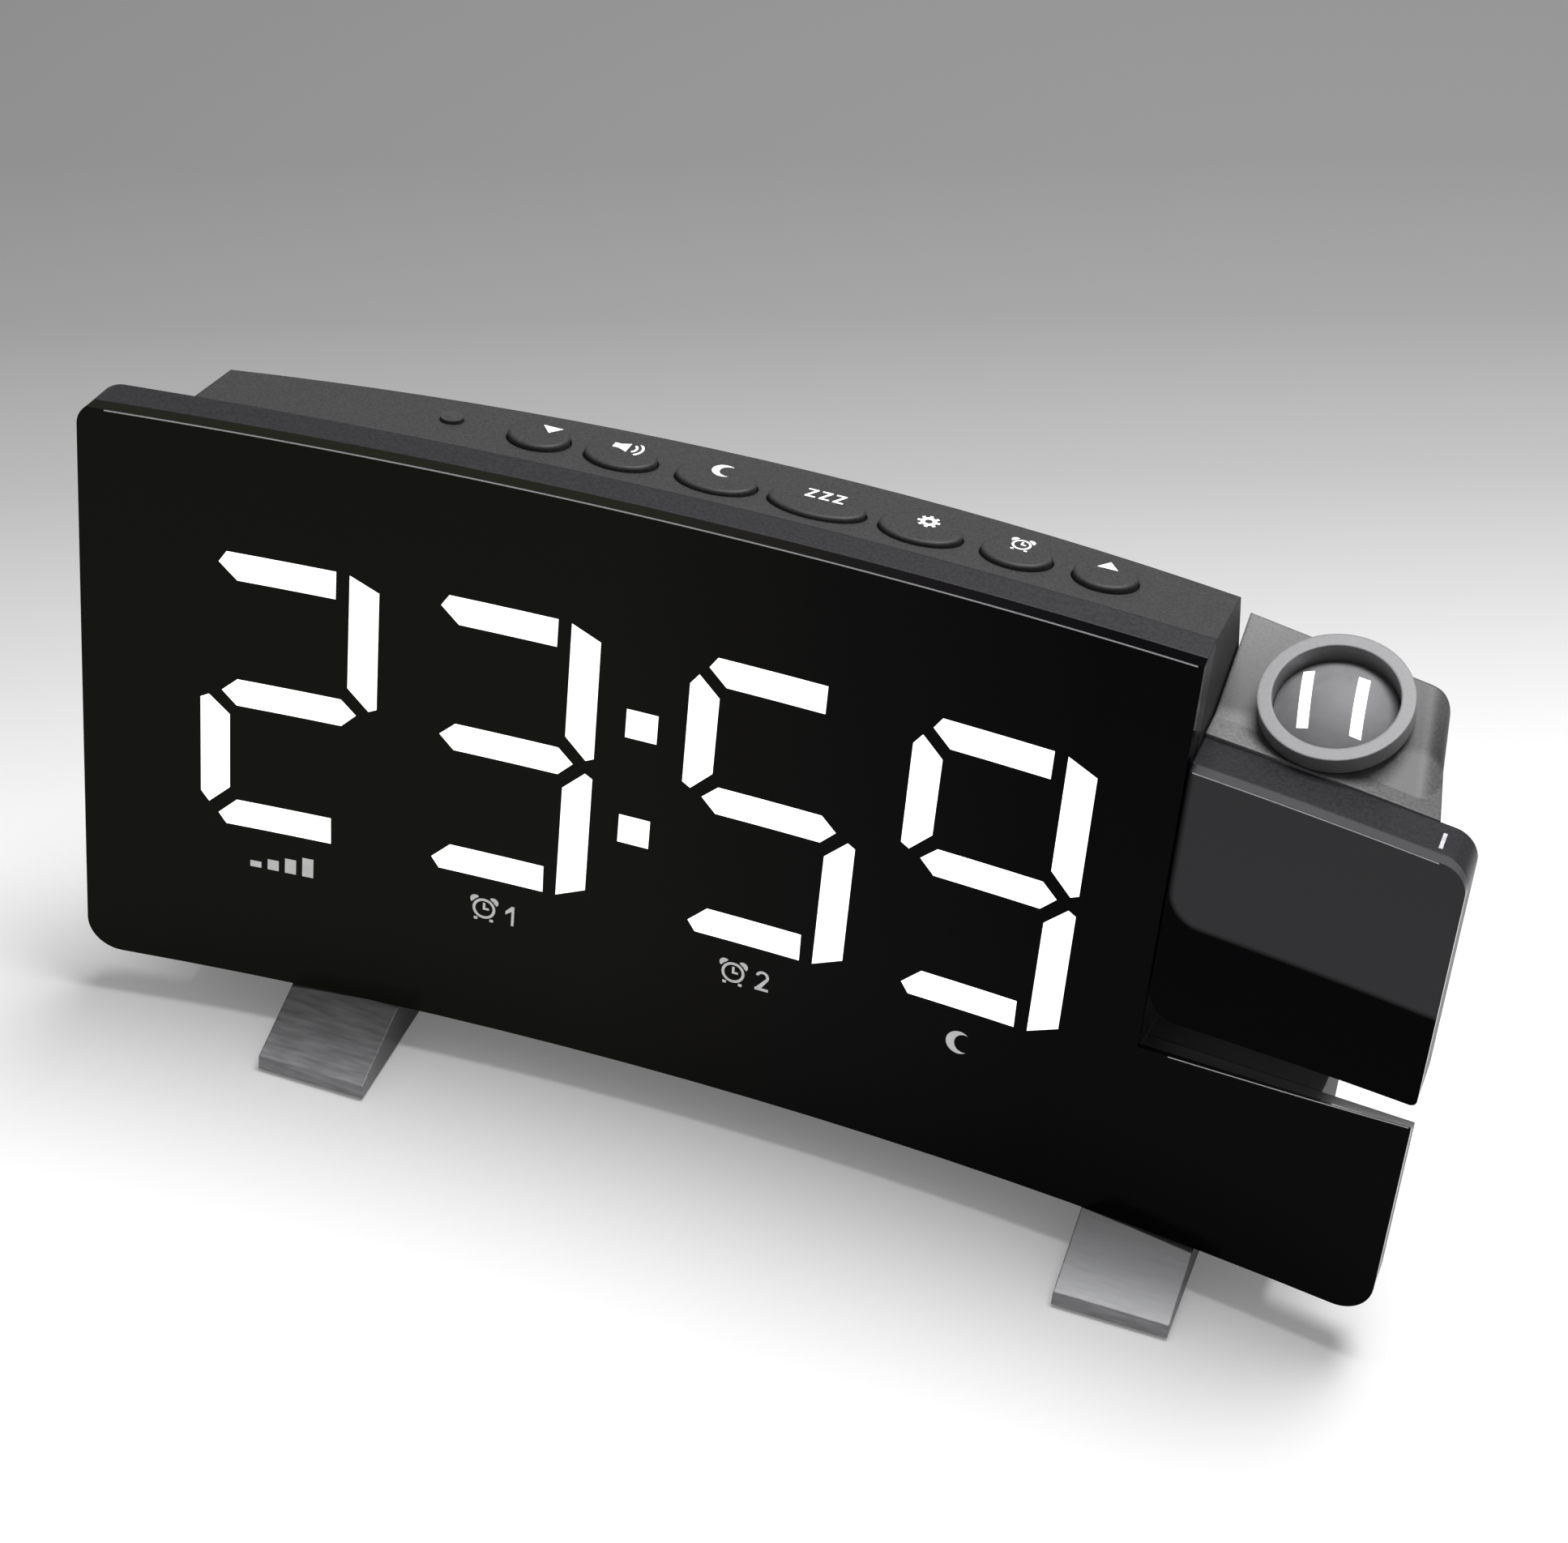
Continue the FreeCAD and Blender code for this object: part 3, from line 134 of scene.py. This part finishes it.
def noise(made, scale, stretch=(1, 1, 1)):
    """Fine random values over a piece: a larger scale makes a finer grain."""
    new = node(made, "ShaderNodeTexNoise")
    new.inputs["Scale"].default_value = scale
    new.inputs["Detail"].default_value = 3.0
    wire(made, coordinates(made, stretch), new.inputs["Vector"])
    return new.outputs["Fac"]


def ramp(made, source, stops):
    """Colours along a value: stops are (place, colour)."""
    new = node(made, "ShaderNodeValToRGB")
    while len(new.color_ramp.elements) < len(stops):
        new.color_ramp.elements.new(0.5)
    for element, (spot, color) in zip(new.color_ramp.elements, stops):
        element.position = spot
        element.color = (*color, 1.0)
    wire(made, source, new.inputs["Fac"])
    return new.outputs["Color"]


def span(made, source, low, high, start=0.0, end=1.0):
    """One range of a value carried onto another."""
    new = node(made, "ShaderNodeMapRange")
    for key, value in zip(("From Min", "From Max", "To Min", "To Max"), (low, high, start, end)):
        new.inputs[key].default_value = value
    wire(made, source, new.inputs["Value"])
    return new.outputs["Result"]


def shader_of(made):
    return made.node_tree.nodes["Principled BSDF"]


def mottled(made, socket, grain, dark, light):
    """A colour socket wanders between two colours with the grain."""
    stops = [(NOISE_LOW, dark), (NOISE_HIGH, light)]
    wire(made, ramp(made, noise(made, grain), stops), shader_of(made).inputs[socket])


def polished(made, low, high, scale=60.0):
    """Gloss whose roughness drifts slowly, so a mirrored edge isn't perfect."""
    drift = span(made, noise(made, scale), NOISE_LOW, NOISE_HIGH, low, high)
    wire(made, drift, shader_of(made).inputs["Roughness"])


def along(made, axis):
    """One Object coordinate as a value in metres."""
    split = node(made, "ShaderNodeSeparateXYZ")
    wire(made, coordinates(made), split.inputs["Vector"])
    return split.outputs[axis]


def maths(made, kind, one, two=0.0):
    """Two values, each a number or a socket, joined by one operation."""
    new = node(made, "ShaderNodeMath", operation=kind)
    for socket, value in zip(new.inputs, (one, two)):
        if isinstance(value, float):
            socket.default_value = value
        else:
            wire(made, value, socket)
    return new.outputs[0]


def shaded(made, axis, low, high, levels):
    """The base colour is multiplied by a grey level that changes along one
    axis between two places. Levels are (share of the way, grey)."""
    base = shader_of(made).inputs["Base Color"]
    tone = ramp(made, span(made, along(made, axis), low, high), [(spot, (level,) * 3) for spot, level in levels])
    product = node(made, "ShaderNodeMix", data_type="RGBA", blend_type="MULTIPLY")
    product.inputs["Factor"].default_value = 1.0
    wire(made, base.links[0].from_socket, product.inputs["A"])
    wire(made, tone, product.inputs["B"])
    wire(made, product.outputs["Result"], base)


GRAIN_DEPTH = 0.0002


def grained(name, color, rough, grain=900.0, spread=0.25, bump=0.03, stretch=(1, 1, 1), edge=0.0, **more):
    """A moulded or brushed surface: the colour and the roughness wander with
    the grain, and the grain stands up a little. An edge radius makes sharp
    corners catch the light as worn or moulded ones do."""
    made = finish(name, color, rough, **more)
    fac = noise(made, grain, stretch=stretch)
    dark = [c * (1 - spread) for c in color]
    light = [min(1.0, c * (1 + spread)) for c in color]
    wire(made, ramp(made, fac, [(NOISE_LOW, dark), (NOISE_HIGH, light)]), shader_of(made).inputs["Base Color"])
    drift = span(made, fac, NOISE_LOW, NOISE_HIGH, rough * 0.9, rough * 1.1)
    wire(made, drift, shader_of(made).inputs["Roughness"])
    raise_up = node(made, "ShaderNodeBump")
    raise_up.inputs["Strength"].default_value = bump
    raise_up.inputs["Distance"].default_value = GRAIN_DEPTH
    wire(made, fac, raise_up.inputs["Height"])
    if edge:
        softened = node(made, "ShaderNodeBevel", samples=6)
        softened.inputs["Radius"].default_value = edge
        wire(made, softened.outputs["Normal"], raise_up.inputs["Normal"])
    wire(made, raise_up.outputs["Normal"], shader_of(made).inputs["Normal"])
    return made


# %% [markdown]
# The face is one sheet of dark acrylic. Its colour runs along x from a warm
# near-black on the left half to a pure black on the right half: the lighter
# left half is a painted reflection. Gloss plastic at this angle would mirror
# the pale floor, and the photograph shows almost none of it, so the specular
# level is low.

# %% Gloss face
REFLECTED_LEFT_BLACK = (0.0085, 0.0085, 0.0062)
REFLECTED_MIDDLE_BLACK = (0.0045, 0.004, 0.0044)
DEEP_BLACK = (0.0012, 0.001, 0.0016)
face_black = finish("face_black", REFLECTED_LEFT_BLACK, 0.12, specular=0.03)
# Painted reflection: the face is lighter on its left half and pure black on its right.
slide = span(face_black, along(face_black, "X"), -0.02, 0.045)
painted_reflection = ramp(face_black, slide, [(0.0, REFLECTED_LEFT_BLACK), (0.55, REFLECTED_MIDDLE_BLACK), (1.0, DEEP_BLACK)])
wire(face_black, painted_reflection, shader_of(face_black).inputs["Base Color"])
polished(face_black, 0.09, 0.14)

# %% [markdown]
# The head's panel is of the same sheet, but its upper part carries a painted
# reflection, a paler sheen that ends in a straight line at two fifths of the
# height, with a rounded lower left corner. A mask in Object coordinates draws
# it: the distance to a rounded corner, worked out from how far a point lies
# short of the corner's centre along each axis.

# %% Gloss panel of the projector head
ZONE_LEFT = 0.0576
ZONE_LOW = 0.0563
ZONE_ROUND = 0.0045
ZONE_BLUR = 0.0004
SHEEN = (0.052, 0.052, 0.055)
BELOW_SHEEN = (0.0008, 0.0008, 0.0014)
panel_black = finish("panel_black", BELOW_SHEEN, 0.1, specular=0.02)


def short_of(axis, place):
    """How far a point lies before a place on one axis, squared."""
    gap = maths(panel_black, "MAXIMUM", maths(panel_black, "SUBTRACT", place, along(panel_black, axis)))
    return maths(panel_black, "MULTIPLY", gap, gap)


# Painted reflection: the mask makes the panel's upper zone paler, with a rounded lower left corner.
squares = maths(panel_black, "ADD", short_of("X", ZONE_LEFT + ZONE_ROUND), short_of("Z", ZONE_LOW + ZONE_ROUND))
reach = maths(panel_black, "SQRT", squares)
zone = span(panel_black, reach, ZONE_ROUND - ZONE_BLUR, ZONE_ROUND + ZONE_BLUR)
painted_sheen = ramp(panel_black, zone, [(0.0, SHEEN), (1.0, BELOW_SHEEN)])
wire(panel_black, painted_sheen, shader_of(panel_black).inputs["Base Color"])
polished(panel_black, 0.09, 0.13)

# %% [markdown]
# The case, its keys and the head are moulded with a fine matte grain, the feet
# are brushed steel and the rest are plain inner finishes. The feet carry painted
# shade that darkens them towards the back, where the clock shades them, and the
# head's shell carries painted shade in the corner behind its ledge and towards
# its right end.

# %% Moulded plastics, metals and inner finishes
band_black = grained("band_black", (0.014, 0.014, 0.016), 0.4, grain=2200.0, specular=0.2, edge=0.0004)
case_black = grained("case_black", (0.028, 0.028, 0.029), 0.6, grain=2600.0, bump=0.06, specular=0.2, edge=0.0005)
key_black = grained("key_black", (0.025, 0.025, 0.026), 0.5, grain=2600.0, specular=0.25, edge=0.0005)
head_grey = grained("head_grey", (0.12, 0.12, 0.122), 0.5, grain=2600.0, specular=0.3, edge=0.0006)
ring_grey = grained("ring_grey", (0.17, 0.17, 0.175), 0.42, grain=1800.0, spread=0.1, specular=0.3, edge=0.0004)
foot_steel = grained(
    "foot_steel", (0.30, 0.30, 0.31), 0.45, grain=1400.0, stretch=(0.15, 1, 1), metal=0.6, edge=0.0003
)
# Painted shade: the feet darken towards the back, under the clock.
shaded(foot_steel, "Y", -0.031, -0.012, [(0.0, 1.0), (0.5, 0.4), (1.0, 0.14)])
screw_steel = grained("screw_steel", (0.45, 0.45, 0.46), 0.35, grain=3000.0, metal=1.0)
# Painted shade: the head's shell darkens in the corner behind its ledge and towards its right end.
shaded(head_grey, "Y", 0.004, 0.024, [(0.0, 1.0), (0.13, 1.0), (0.2, 0.4), (0.6, 0.75), (1.0, 1.0)])
shaded(head_grey, "X", 0.058, 0.092, [(0.0, 1.0), (1.0, 0.5)])
rubber = grained("rubber", (0.02, 0.02, 0.02), 0.85, grain=3500.0, bump=0.1)
well_white = grained("well_white", (0.8, 0.8, 0.8), 0.6, spread=0.04)
board_green = grained("board_green", (0.02, 0.12, 0.05), 0.4, grain=700.0)
inner_black = grained("inner_black", (0.02, 0.02, 0.02), 0.5)
cone_paper = grained("cone_paper", (0.03, 0.03, 0.032), 0.9, grain=1500.0, bump=0.3)
lamp_resin = grained("lamp_resin", (0.85, 0.78, 0.4), 0.3, spread=0.05)
brass = grained("brass", (0.6, 0.43, 0.16), 0.3, metal=1.0)
numeral_white = finish("numeral_white", (1.0, 1.0, 1.0), 0.5)
mottled(numeral_white, "Emission Color", 400.0, (0.96, 0.96, 0.96), (1.0, 1.0, 1.0))
shader_of(numeral_white).inputs["Emission Strength"].default_value = 1.0
lens_glass = grained("lens_glass", (0.14, 0.14, 0.145), 0.6, grain=500.0, spread=0.08, bump=0.0, specular=0.25)

# %% [markdown]
# A table gives each finish the names of the pieces that carry it.

# %% Finishes on the pieces
FINISHES = {
    face_black: ["front_pane"],
    panel_black: ["projector_panel"],
    numeral_white: ["lit_numerals", "segment_diffusers"],
    band_black: ["front_frame", "projector_frame"],
    case_black: ["rear_housing", "battery_door"],
    head_grey: ["projector_shell"],
    key_black: [
        "key_down", "key_volume", "key_sleep", "key_snooze", "key_set", "key_alarm", "key_up", "dimmer_knob",
    ],
    foot_steel: ["foot_left", "foot_right"],
    rubber: ["sole_left", "sole_right"],
    screw_steel: [
        "housing_screws", "foot_screws", "battery_door_screw", "projector_screws", "axle_clip", "friction_washer",
        "crystal", "coin_cell", "speaker_magnet", "speaker_basket",
    ],
    well_white: ["light_wells"],
    board_green: ["display_board", "main_board", "key_board", "lamp_board"],
    inner_black: [
        "clock_chip", "key_switches", "power_jack", "dimmer_body", "cell_holder", "light_tunnel", "lens_cell",
        "capacitor", "hinge_axle", "projector_lead", "light_sensor",
    ],
    cone_paper: ["speaker_cone"],
    lamp_resin: ["segment_lamps", "projector_lamp"],
    brass: ["board_spacers"],
    ring_grey: ["focus_ring"],
    lens_glass: ["objective_lens", "condenser_lens", "projector_film"],
}


def coat_with(piece, made):
    piece.data.materials.clear()
    piece.data.materials.append(made)


for made, names in FINISHES.items():
    for name in names:
        coat_with(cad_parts[name], made)
print("finishes laid:", sum(len(names) for names in FINISHES.values()))

# %% [markdown]
# Painted edge highlights, painted glints and printed marks are ribbons: two
# rows of points with faces between them. A mark keeps its own drawing in
# millimetres and a function lays it on the curved face or on the turned roof
# of the case.


# %% Ribbons
def ribbon(first, second, closed=False):
    """Faces between two rows of equal length: row one, then row two, with each
    pair of neighbours in one row joined to the same pair in the other."""
    count = len(first)
    points = np.concatenate([first, second])
    here = np.arange(count if closed else count - 1)
    there = (here + 1) % count
    faces = np.stack([here, there, there + count, here + count], axis=1)
    return points, faces


def arc(centre, radius, start, end, count=24):
    """Points round a circle from one angle to another, in degrees."""
    turn = np.radians(np.linspace(start, end, count))
    return np.stack([centre[0] + radius * np.cos(turn), centre[1] + radius * np.sin(turn)], axis=1)


def bar(left, low, right, high):
    """An upright rectangle from its four sides."""
    return ribbon(np.array([(left, low), (right, low)]), np.array([(left, high), (right, high)]))


def ring(inner, outer):
    """A flat ring: two circles of 24 points, 15 degrees apart."""
    return ribbon(arc((0, 0), inner, 0, 345), arc((0, 0), outer, 0, 345), closed=True)


def moon(size):
    """A crescent: the outer arc of one circle and the arc of another that
    bites into it, joined at their tips."""
    return ribbon(arc((0, 0), size, 50, 310), arc((0.45 * size, 0), 0.8 * size, 75, 285))


def triangle(size, way):
    """A triangle that points up, or down where way is below zero."""
    base = -0.6 * way * size
    return ribbon(np.array([(-size, base), (size, base)]), np.array([(0, way * size)] * 2))


def little_clock(r):
    """A ring of about radius r with two hands, two bells and two feet."""
    shapes = [
        ring(0.72 * r, 0.95 * r),
        bar(-0.1 * r, -0.1 * r, 0.1 * r, 0.55 * r),
        bar(-0.1 * r, -0.1 * r, 0.42 * r, 0.1 * r),
    ]
    for side_of, start in ((-1, 45), (1, -45)):
        centre = (side_of * 0.75 * r, 0.75 * r)
        bell = arc(centre, 0.42 * r, start, start + 180)
        shapes.append(ribbon(bell, arc(centre, 0.05 * r, start, start + 180)))
    shapes.append(bar(-0.8 * r, -1.15 * r, -0.5 * r, -0.9 * r))
    shapes.append(bar(0.5 * r, -1.15 * r, 0.8 * r, -0.9 * r))
    return shapes


def numeral_one(size):
    """A plain 1: a stem and a slanted stroke at its top."""
    wide = 0.24 * size
    upper = np.array([(-0.55 * size, 0.4 * size), (0, size)])
    lower = np.array([(-0.55 * size, 0.05 * size), (wide, 0.65 * size)])
    return [bar(0, -size, wide, size), ribbon(upper, lower)]


def numeral_two(size):
    """A plain 2: an arc, a slanted stroke and a foot."""
    centre = (0, 0.42 * size)
    bow = ribbon(arc(centre, 0.6 * size, 170, -35), arc(centre, 0.34 * size, 170, -35))
    start = np.array([(0.5 * size, 0.1 * size), (0.26 * size, 0.24 * size)])
    end = np.array([(-0.1 * size, -0.85 * size), (-0.6 * size, -0.85 * size)])
    return [bow, ribbon(start, end), bar(-0.6 * size, -size, 0.62 * size, -0.72 * size)]


def moved(shapes, shift):
    """The same shapes, drawn round another place."""
    return [(points + np.array(shift), faces) for points, faces in shapes]


# %% [markdown]
# One function joins flat shapes into a piece and lays them on a surface, and
# each surface is a function that carries points. The face has a formula. On
# the keys, the head and the lens the points are cast like rays onto the solid
# itself, so a mark follows whatever shape the solid has.


def lay(name, shapes, surface, made, body):
    """One piece from many flat shapes: each is carried onto the surface."""
    points = []
    faces = []
    for flat, polygons in shapes:
        faces.append(polygons + sum(len(done) for done in points))
        points.append(flat)
    mesh = bpy.data.meshes.new(name)
    mesh.from_pydata(surface(np.concatenate(points)).tolist(), [], np.concatenate(faces).tolist())
    new = bpy.data.objects.new(name, mesh)
    bpy.context.scene.collection.objects.link(new)
    coat_with(new, made)
    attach(new, body)
    return new


def on_face(flat, proud=0.03):
    """Across and up on the face: the depth is that of the face's arc."""
    x, z = flat.T
    y = np.sqrt((FACE_RADIUS - proud) ** 2 - x**2) - FACE_RADIUS
    return stand(np.stack([x, y, z], axis=1))


def tree_of(name):
    """A solid's triangles, sorted so that rays find them fast."""
    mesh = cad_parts[name].data
    return BVHTree.FromPolygons([tuple(v.co) for v in mesh.vertices], [tuple(f.vertices) for f in mesh.polygons])


def landed(tree, starts, way, proud):
    """Where rays from the starts meet a solid, lifted a little off it. A start
    whose ray misses stays where it is."""
    spots = []
    for start in starts:
        spot = tree.ray_cast(Vector(start), way)[0]
        spots.append(tuple(spot - way * proud * MM) if spot else tuple(start))
    return np.array(spots)


HIGH_ABOVE = 130.0


def dropped(name, proud=0.04):
    """A surface that lets marks fall straight down, in the upright layout,
    onto one solid: a flat mark takes the height of the solid below it."""
    tree = tree_of(name)

    def surface(flat):
        high = np.column_stack([flat, np.full(len(flat), HIGH_ABOVE)])
        starts = stand(high)
        down = Vector(stand(high[:1] - (0, 0, 1))[0] - starts[0]).normalized()
        return landed(tree, starts, down, proud)

    return surface


# %% [markdown]
# Small marks stand under the numerals: level bars, two little clocks with
# their numbers and a moon. Each key carries a sign on its cap, which is a piece
# of its own so that it goes down with the key.

# %% Printed marks
print_white = finish("print_white", (0.8, 0.8, 0.8), 0.55)
mottled(print_white, "Base Color", 500.0, (0.74, 0.74, 0.74), (0.86, 0.86, 0.86))
CLOCK_MARK = 1.75
NUMBER_MARK = 1.6
level_bars = [bar(-4.6 + 2.5 * step, -1.1, -3.0 + 2.5 * step, -0.1 + 0.7 * step) for step in range(4)]
UNDER_NUMERALS = [
    ((-65.2, 19.9), level_bars),
    ((-35.9, 20.1), little_clock(CLOCK_MARK)),
    ((-31.9, 19.9), numeral_one(NUMBER_MARK)),
    ((0.3, 20.2), little_clock(CLOCK_MARK)),
    ((4.5, 20.1), numeral_two(NUMBER_MARK)),
    ((32.8, 19.9), [moon(1.8)]),
]
face_marks = [shape for place, shapes in UNDER_NUMERALS for shape in moved(shapes, place)]
lay("face_marks", face_marks, on_face, print_white, "clock")


def speaker():
    """A box, a horn and two waves."""
    horn = ribbon(np.array([(-1.1, -0.6), (0.1, -1.2)]), np.array([(-1.1, 0.6), (0.1, 1.2)]))
    waves = [ribbon(arc((0, 0), r, -50, 50, 9), arc((0, 0), r + 0.35, -50, 50, 9)) for r in (1.0, 1.8)]
    return [bar(-2.0, -0.6, -1.1, 0.6), horn] + waves


def three_zigzags():
    """Two short bars joined by a slant, three times in a row."""
    shapes = []
    for k in (-1.9, 0.0, 1.9):
        slant = ribbon(
            np.array([(k - 0.7, -0.8), (k - 0.25, -0.8)]),
            np.array([(k + 0.25, 0.8), (k + 0.7, 0.8)]),
        )
        shapes += [bar(k - 0.7, -1.1, k + 0.7, -0.75), bar(k - 0.7, 0.75, k + 0.7, 1.1), slant]
    return shapes


def gear():
    """A ring with eight teeth."""
    teeth = [
        ribbon(arc((0, 0), 1.05, angle - 12, angle + 12, 3), arc((0, 0), 1.5, angle - 9, angle + 9, 3))
        for angle in range(0, 360, 45)
    ]
    return [ring(0.5, 1.1)] + teeth


KEY_MARKS = {
    "key_down": ((-35.6, 13.3), [triangle(1.4, -0.8)]),
    "key_volume": ((-24.9, 13.4), speaker()),
    "key_sleep": ((-11.6, 13.5), [moon(1.6)]),
    "key_snooze": ((2.4, 13.4), three_zigzags()),
    "key_set": ((16.3, 13.4), gear()),
    "key_alarm": ((28.7, 13.3), little_clock(1.35)),
    "key_up": ((40.2, 13.3), [triangle(1.4, 0.8)]),
}
for key, (place, shapes) in KEY_MARKS.items():
    lay(f"{key}_mark", moved(shapes, place), dropped(key), print_white, key)
print("marks laid")

# %% [markdown]
# A hairline of light runs along the top edge of the face and of the head's
# panel, and along the front edge of the notch floor. On the real clock it is
# light caught on the polished edge of the acrylic sheet; here it is a painted
# highlight, a ribbon of pale grey about a fifth of a millimetre wide that
# follows each edge.

# %% Painted edge highlights
edge_light = grained("edge_light", (0.42, 0.42, 0.44), 0.2, grain=1200.0, spread=0.1, bump=0.0)


FACE_TOP = 86.5
EDGE_INSET = 0.05
HEAD_LEFT = 57.1
HEAD_TOP = 71.7
HEAD_WIDE = 36.4
HEAD_FALL = 1.1
NOTCH_RADIUS = 30.3
NOTCH_INSET = 0.03
HINGE_DEPTH = 10.0
HINGE_HEIGHT = 56.0


def edge_on_face(name, xs, zs, wide, body):
    """A ribbon on the face whose upper side follows a row of heights."""
    low = np.stack([xs, zs - wide], axis=1)
    high = np.stack([xs, zs], axis=1)
    return lay(name, [ribbon(low, high)], on_face, edge_light, body)


# Painted highlights: pale ribbons stand in for light caught on these edges.
reach_x = np.linspace(-89.8, 56.0, 60)
edge_on_face("face_edge", reach_x, np.full(60, FACE_TOP - EDGE_INSET), 0.22, "clock")
# The head's top falls in a straight line towards its right end
head_x = np.linspace(57.6, 89.6, 30)
head_z = HEAD_TOP - (head_x - HEAD_LEFT) / HEAD_WIDE * HEAD_FALL
edge_on_face("head_edge", head_x, head_z - EDGE_INSET, 0.2, "projector")
# The notch floor is a drum about the hinge, cut by the curved face
notch_x = np.linspace(61.0, 93.2, 30)
notch_y = np.sqrt(FACE_RADIUS**2 - notch_x**2) - FACE_RADIUS
notch_z = HINGE_HEIGHT - np.sqrt(NOTCH_RADIUS**2 - (notch_y - HINGE_DEPTH) ** 2)
edge_on_face("notch_edge", notch_x, notch_z - NOTCH_INSET, 0.16, "clock")
print("edges laid")

# %% [markdown]
# The right end of the face shows a painted highlight, a thin upright pale line
# on the sheet's polished edge, and a painted glint crosses the head's band near
# its corner.


# %% Painted upright highlight and glint
def line(start, end, count):
    """Evenly spaced points from one place to another."""
    return np.array(start) + (np.array(end) - np.array(start)) * np.linspace(0, 1, count)[:, None]


END = 93.54
END_LOW = 5.5
END_HIGH = 31.0
end_depth = np.sqrt(FACE_RADIUS**2 - END**2) - FACE_RADIUS
end_rows = [line((END, end_depth + back, END_LOW), (END, end_depth + back, END_HIGH), 20) for back in (0.5, 1.3)]
# Painted highlight on the face's right end, and a painted glint on the head's band.
lay("face_end", [ribbon(*end_rows)], stand, edge_light, "clock")
lay("head_glint", [bar(88.9, -4.4, 89.4, -0.8)], dropped("projector_frame"), edge_light, "projector")

# %% [markdown]
# Two pale strips cross the dome of the lens: painted glints that stand for
# reflected lights, and they glow a little. They are cast onto the dome along
# the beam, the line that the light leaves by, and ride with the lens.

# %% Painted lens glints
BEAM = Vector((-0.079127, -0.293144, 0.952788))
GLINT_WIDE = 1.5
AHEAD_OF_LENS = 0.03
glint_white = finish("glint_white", (0.9, 0.9, 0.9), 0.3)
mottled(glint_white, "Emission Color", 600.0, (0.85, 0.85, 0.85), (1.0, 1.0, 1.0))
shader_of(glint_white).inputs["Emission Strength"].default_value = 0.85
lens_tree = tree_of("objective_lens")


def on_lens(points, proud=0.05):
    """Upright points carried along the beam onto the dome of the lens."""
    starts = [Vector(point) + BEAM * AHEAD_OF_LENS for point in stand(points)]
    return landed(lens_tree, starts, -BEAM, proud)


def lens_glint(name, top, bottom):
    """A painted glint: a strip of even width from an upper to a lower place."""
    middle = line(top, bottom, 16)
    half = np.array((GLINT_WIDE / 2, 0, 0))
    return lay(name, [ribbon(middle - half, middle + half)], on_lens, glint_white, "lens_cell")


# Painted glints: two glowing pale strips stand for reflections on the lens.
lens_glint("lens_glint_left", (66.9, 17.6, 77.5), (68.4, 9.2, 73.9))
lens_glint("lens_glint_right", (74.0, 17.0, 78.8), (75.1, 9.2, 74.3))
print("strips laid")

# %% [markdown]
# The floor is pale and plain. Far behind the clock it falls away to a mid
# grey, as it does in the photograph, along the line of sight: a painted
# fall-off of the light. A little of its brightness is a glow that only the
# camera, mirrors and glass can see, so the floor reads white while its shadows
# stay and it throws no extra light.

# %% Floor
FADE_TURN = radians(-25.0)
FADE_REACH = 0.3
FLOOR_LEVEL = 0.88
FLOOR_GLOW = 0.22
FLOOR_HALF = 3
# Metres from the middle along the fade, and the floor's grey there
FADE = [(0.020, 0.68), (0.06, 0.56), (0.10, 0.43), (0.145, 0.30), (0.197, 0.21), (0.255, 0.176)]
floor_mesh = bpy.data.meshes.new("floor")
corners = [(x * FLOOR_HALF, y * FLOOR_HALF, 0) for x, y in ((-1, -1), (1, -1), (1, 1), (-1, 1))]
floor_mesh.from_pydata(corners, [], [(0, 1, 2, 3)])
floor = bpy.data.objects.new("floor", floor_mesh)
bpy.context.scene.collection.objects.link(floor)
floor_paint = finish("floor_paint", (0.9, 0.9, 0.9), 0.9, specular=0.0)
turned = node(floor_paint, "ShaderNodeMapping")
turned.inputs["Rotation"].default_value = (0, 0, FADE_TURN)
wire(floor_paint, node(floor_paint, "ShaderNodeTexCoord").outputs["Object"], turned.inputs["Vector"])
split = node(floor_paint, "ShaderNodeSeparateXYZ")
wire(floor_paint, turned.outputs["Vector"], split.inputs["Vector"])
fade = span(floor_paint, split.outputs["Y"], 0.0, FADE_REACH)
# The fade to grey is painted fall-off of the light.
tone = ramp(floor_paint, fade, [(place / FADE_REACH, (FLOOR_LEVEL * level,) * 3) for place, level in FADE])
wire(floor_paint, tone, shader_of(floor_paint).inputs["Base Color"])
wire(floor_paint, tone, shader_of(floor_paint).inputs["Emission Color"])
rays = node(floor_paint, "ShaderNodeLightPath")
mirrored = maths(floor_paint, "MAXIMUM", rays.outputs["Is Glossy Ray"], rays.outputs["Is Transmission Ray"])
seen = maths(floor_paint, "MAXIMUM", rays.outputs["Is Camera Ray"], mirrored)
glow = maths(floor_paint, "MULTIPLY", seen, FLOOR_GLOW)
wire(floor_paint, glow, shader_of(floor_paint).inputs["Emission Strength"])
coat_with(floor, floor_paint)

# %% [markdown]
# Soft, even studio light: a pale world and one broad lamp overhead, a little
# to the right and behind, so that the shadow falls forward under the face.

# %% Light
world = bpy.data.worlds.new("studio")
bpy.context.scene.world = world
world.use_nodes = True
world.node_tree.nodes["Background"].inputs["Color"].default_value = (1.0, 1.0, 1.0, 1.0)
world.node_tree.nodes["Background"].inputs["Strength"].default_value = 0.4
LAMP_PLACE = Vector((0.12, 0.22, 0.8))
lamp_data = bpy.data.lights.new("overhead", "AREA")
lamp_data.shape = "DISK"
lamp_data.size = 0.5
lamp_data.energy = 11.0
overhead = bpy.data.objects.new("overhead", lamp_data)
aim = (-LAMP_PLACE).to_track_quat("-Z", "Y").to_matrix().to_4x4()
overhead.matrix_world = Matrix.Translation(LAMP_PLACE) @ aim
bpy.context.scene.collection.objects.link(overhead)
print("lamps:", 1)
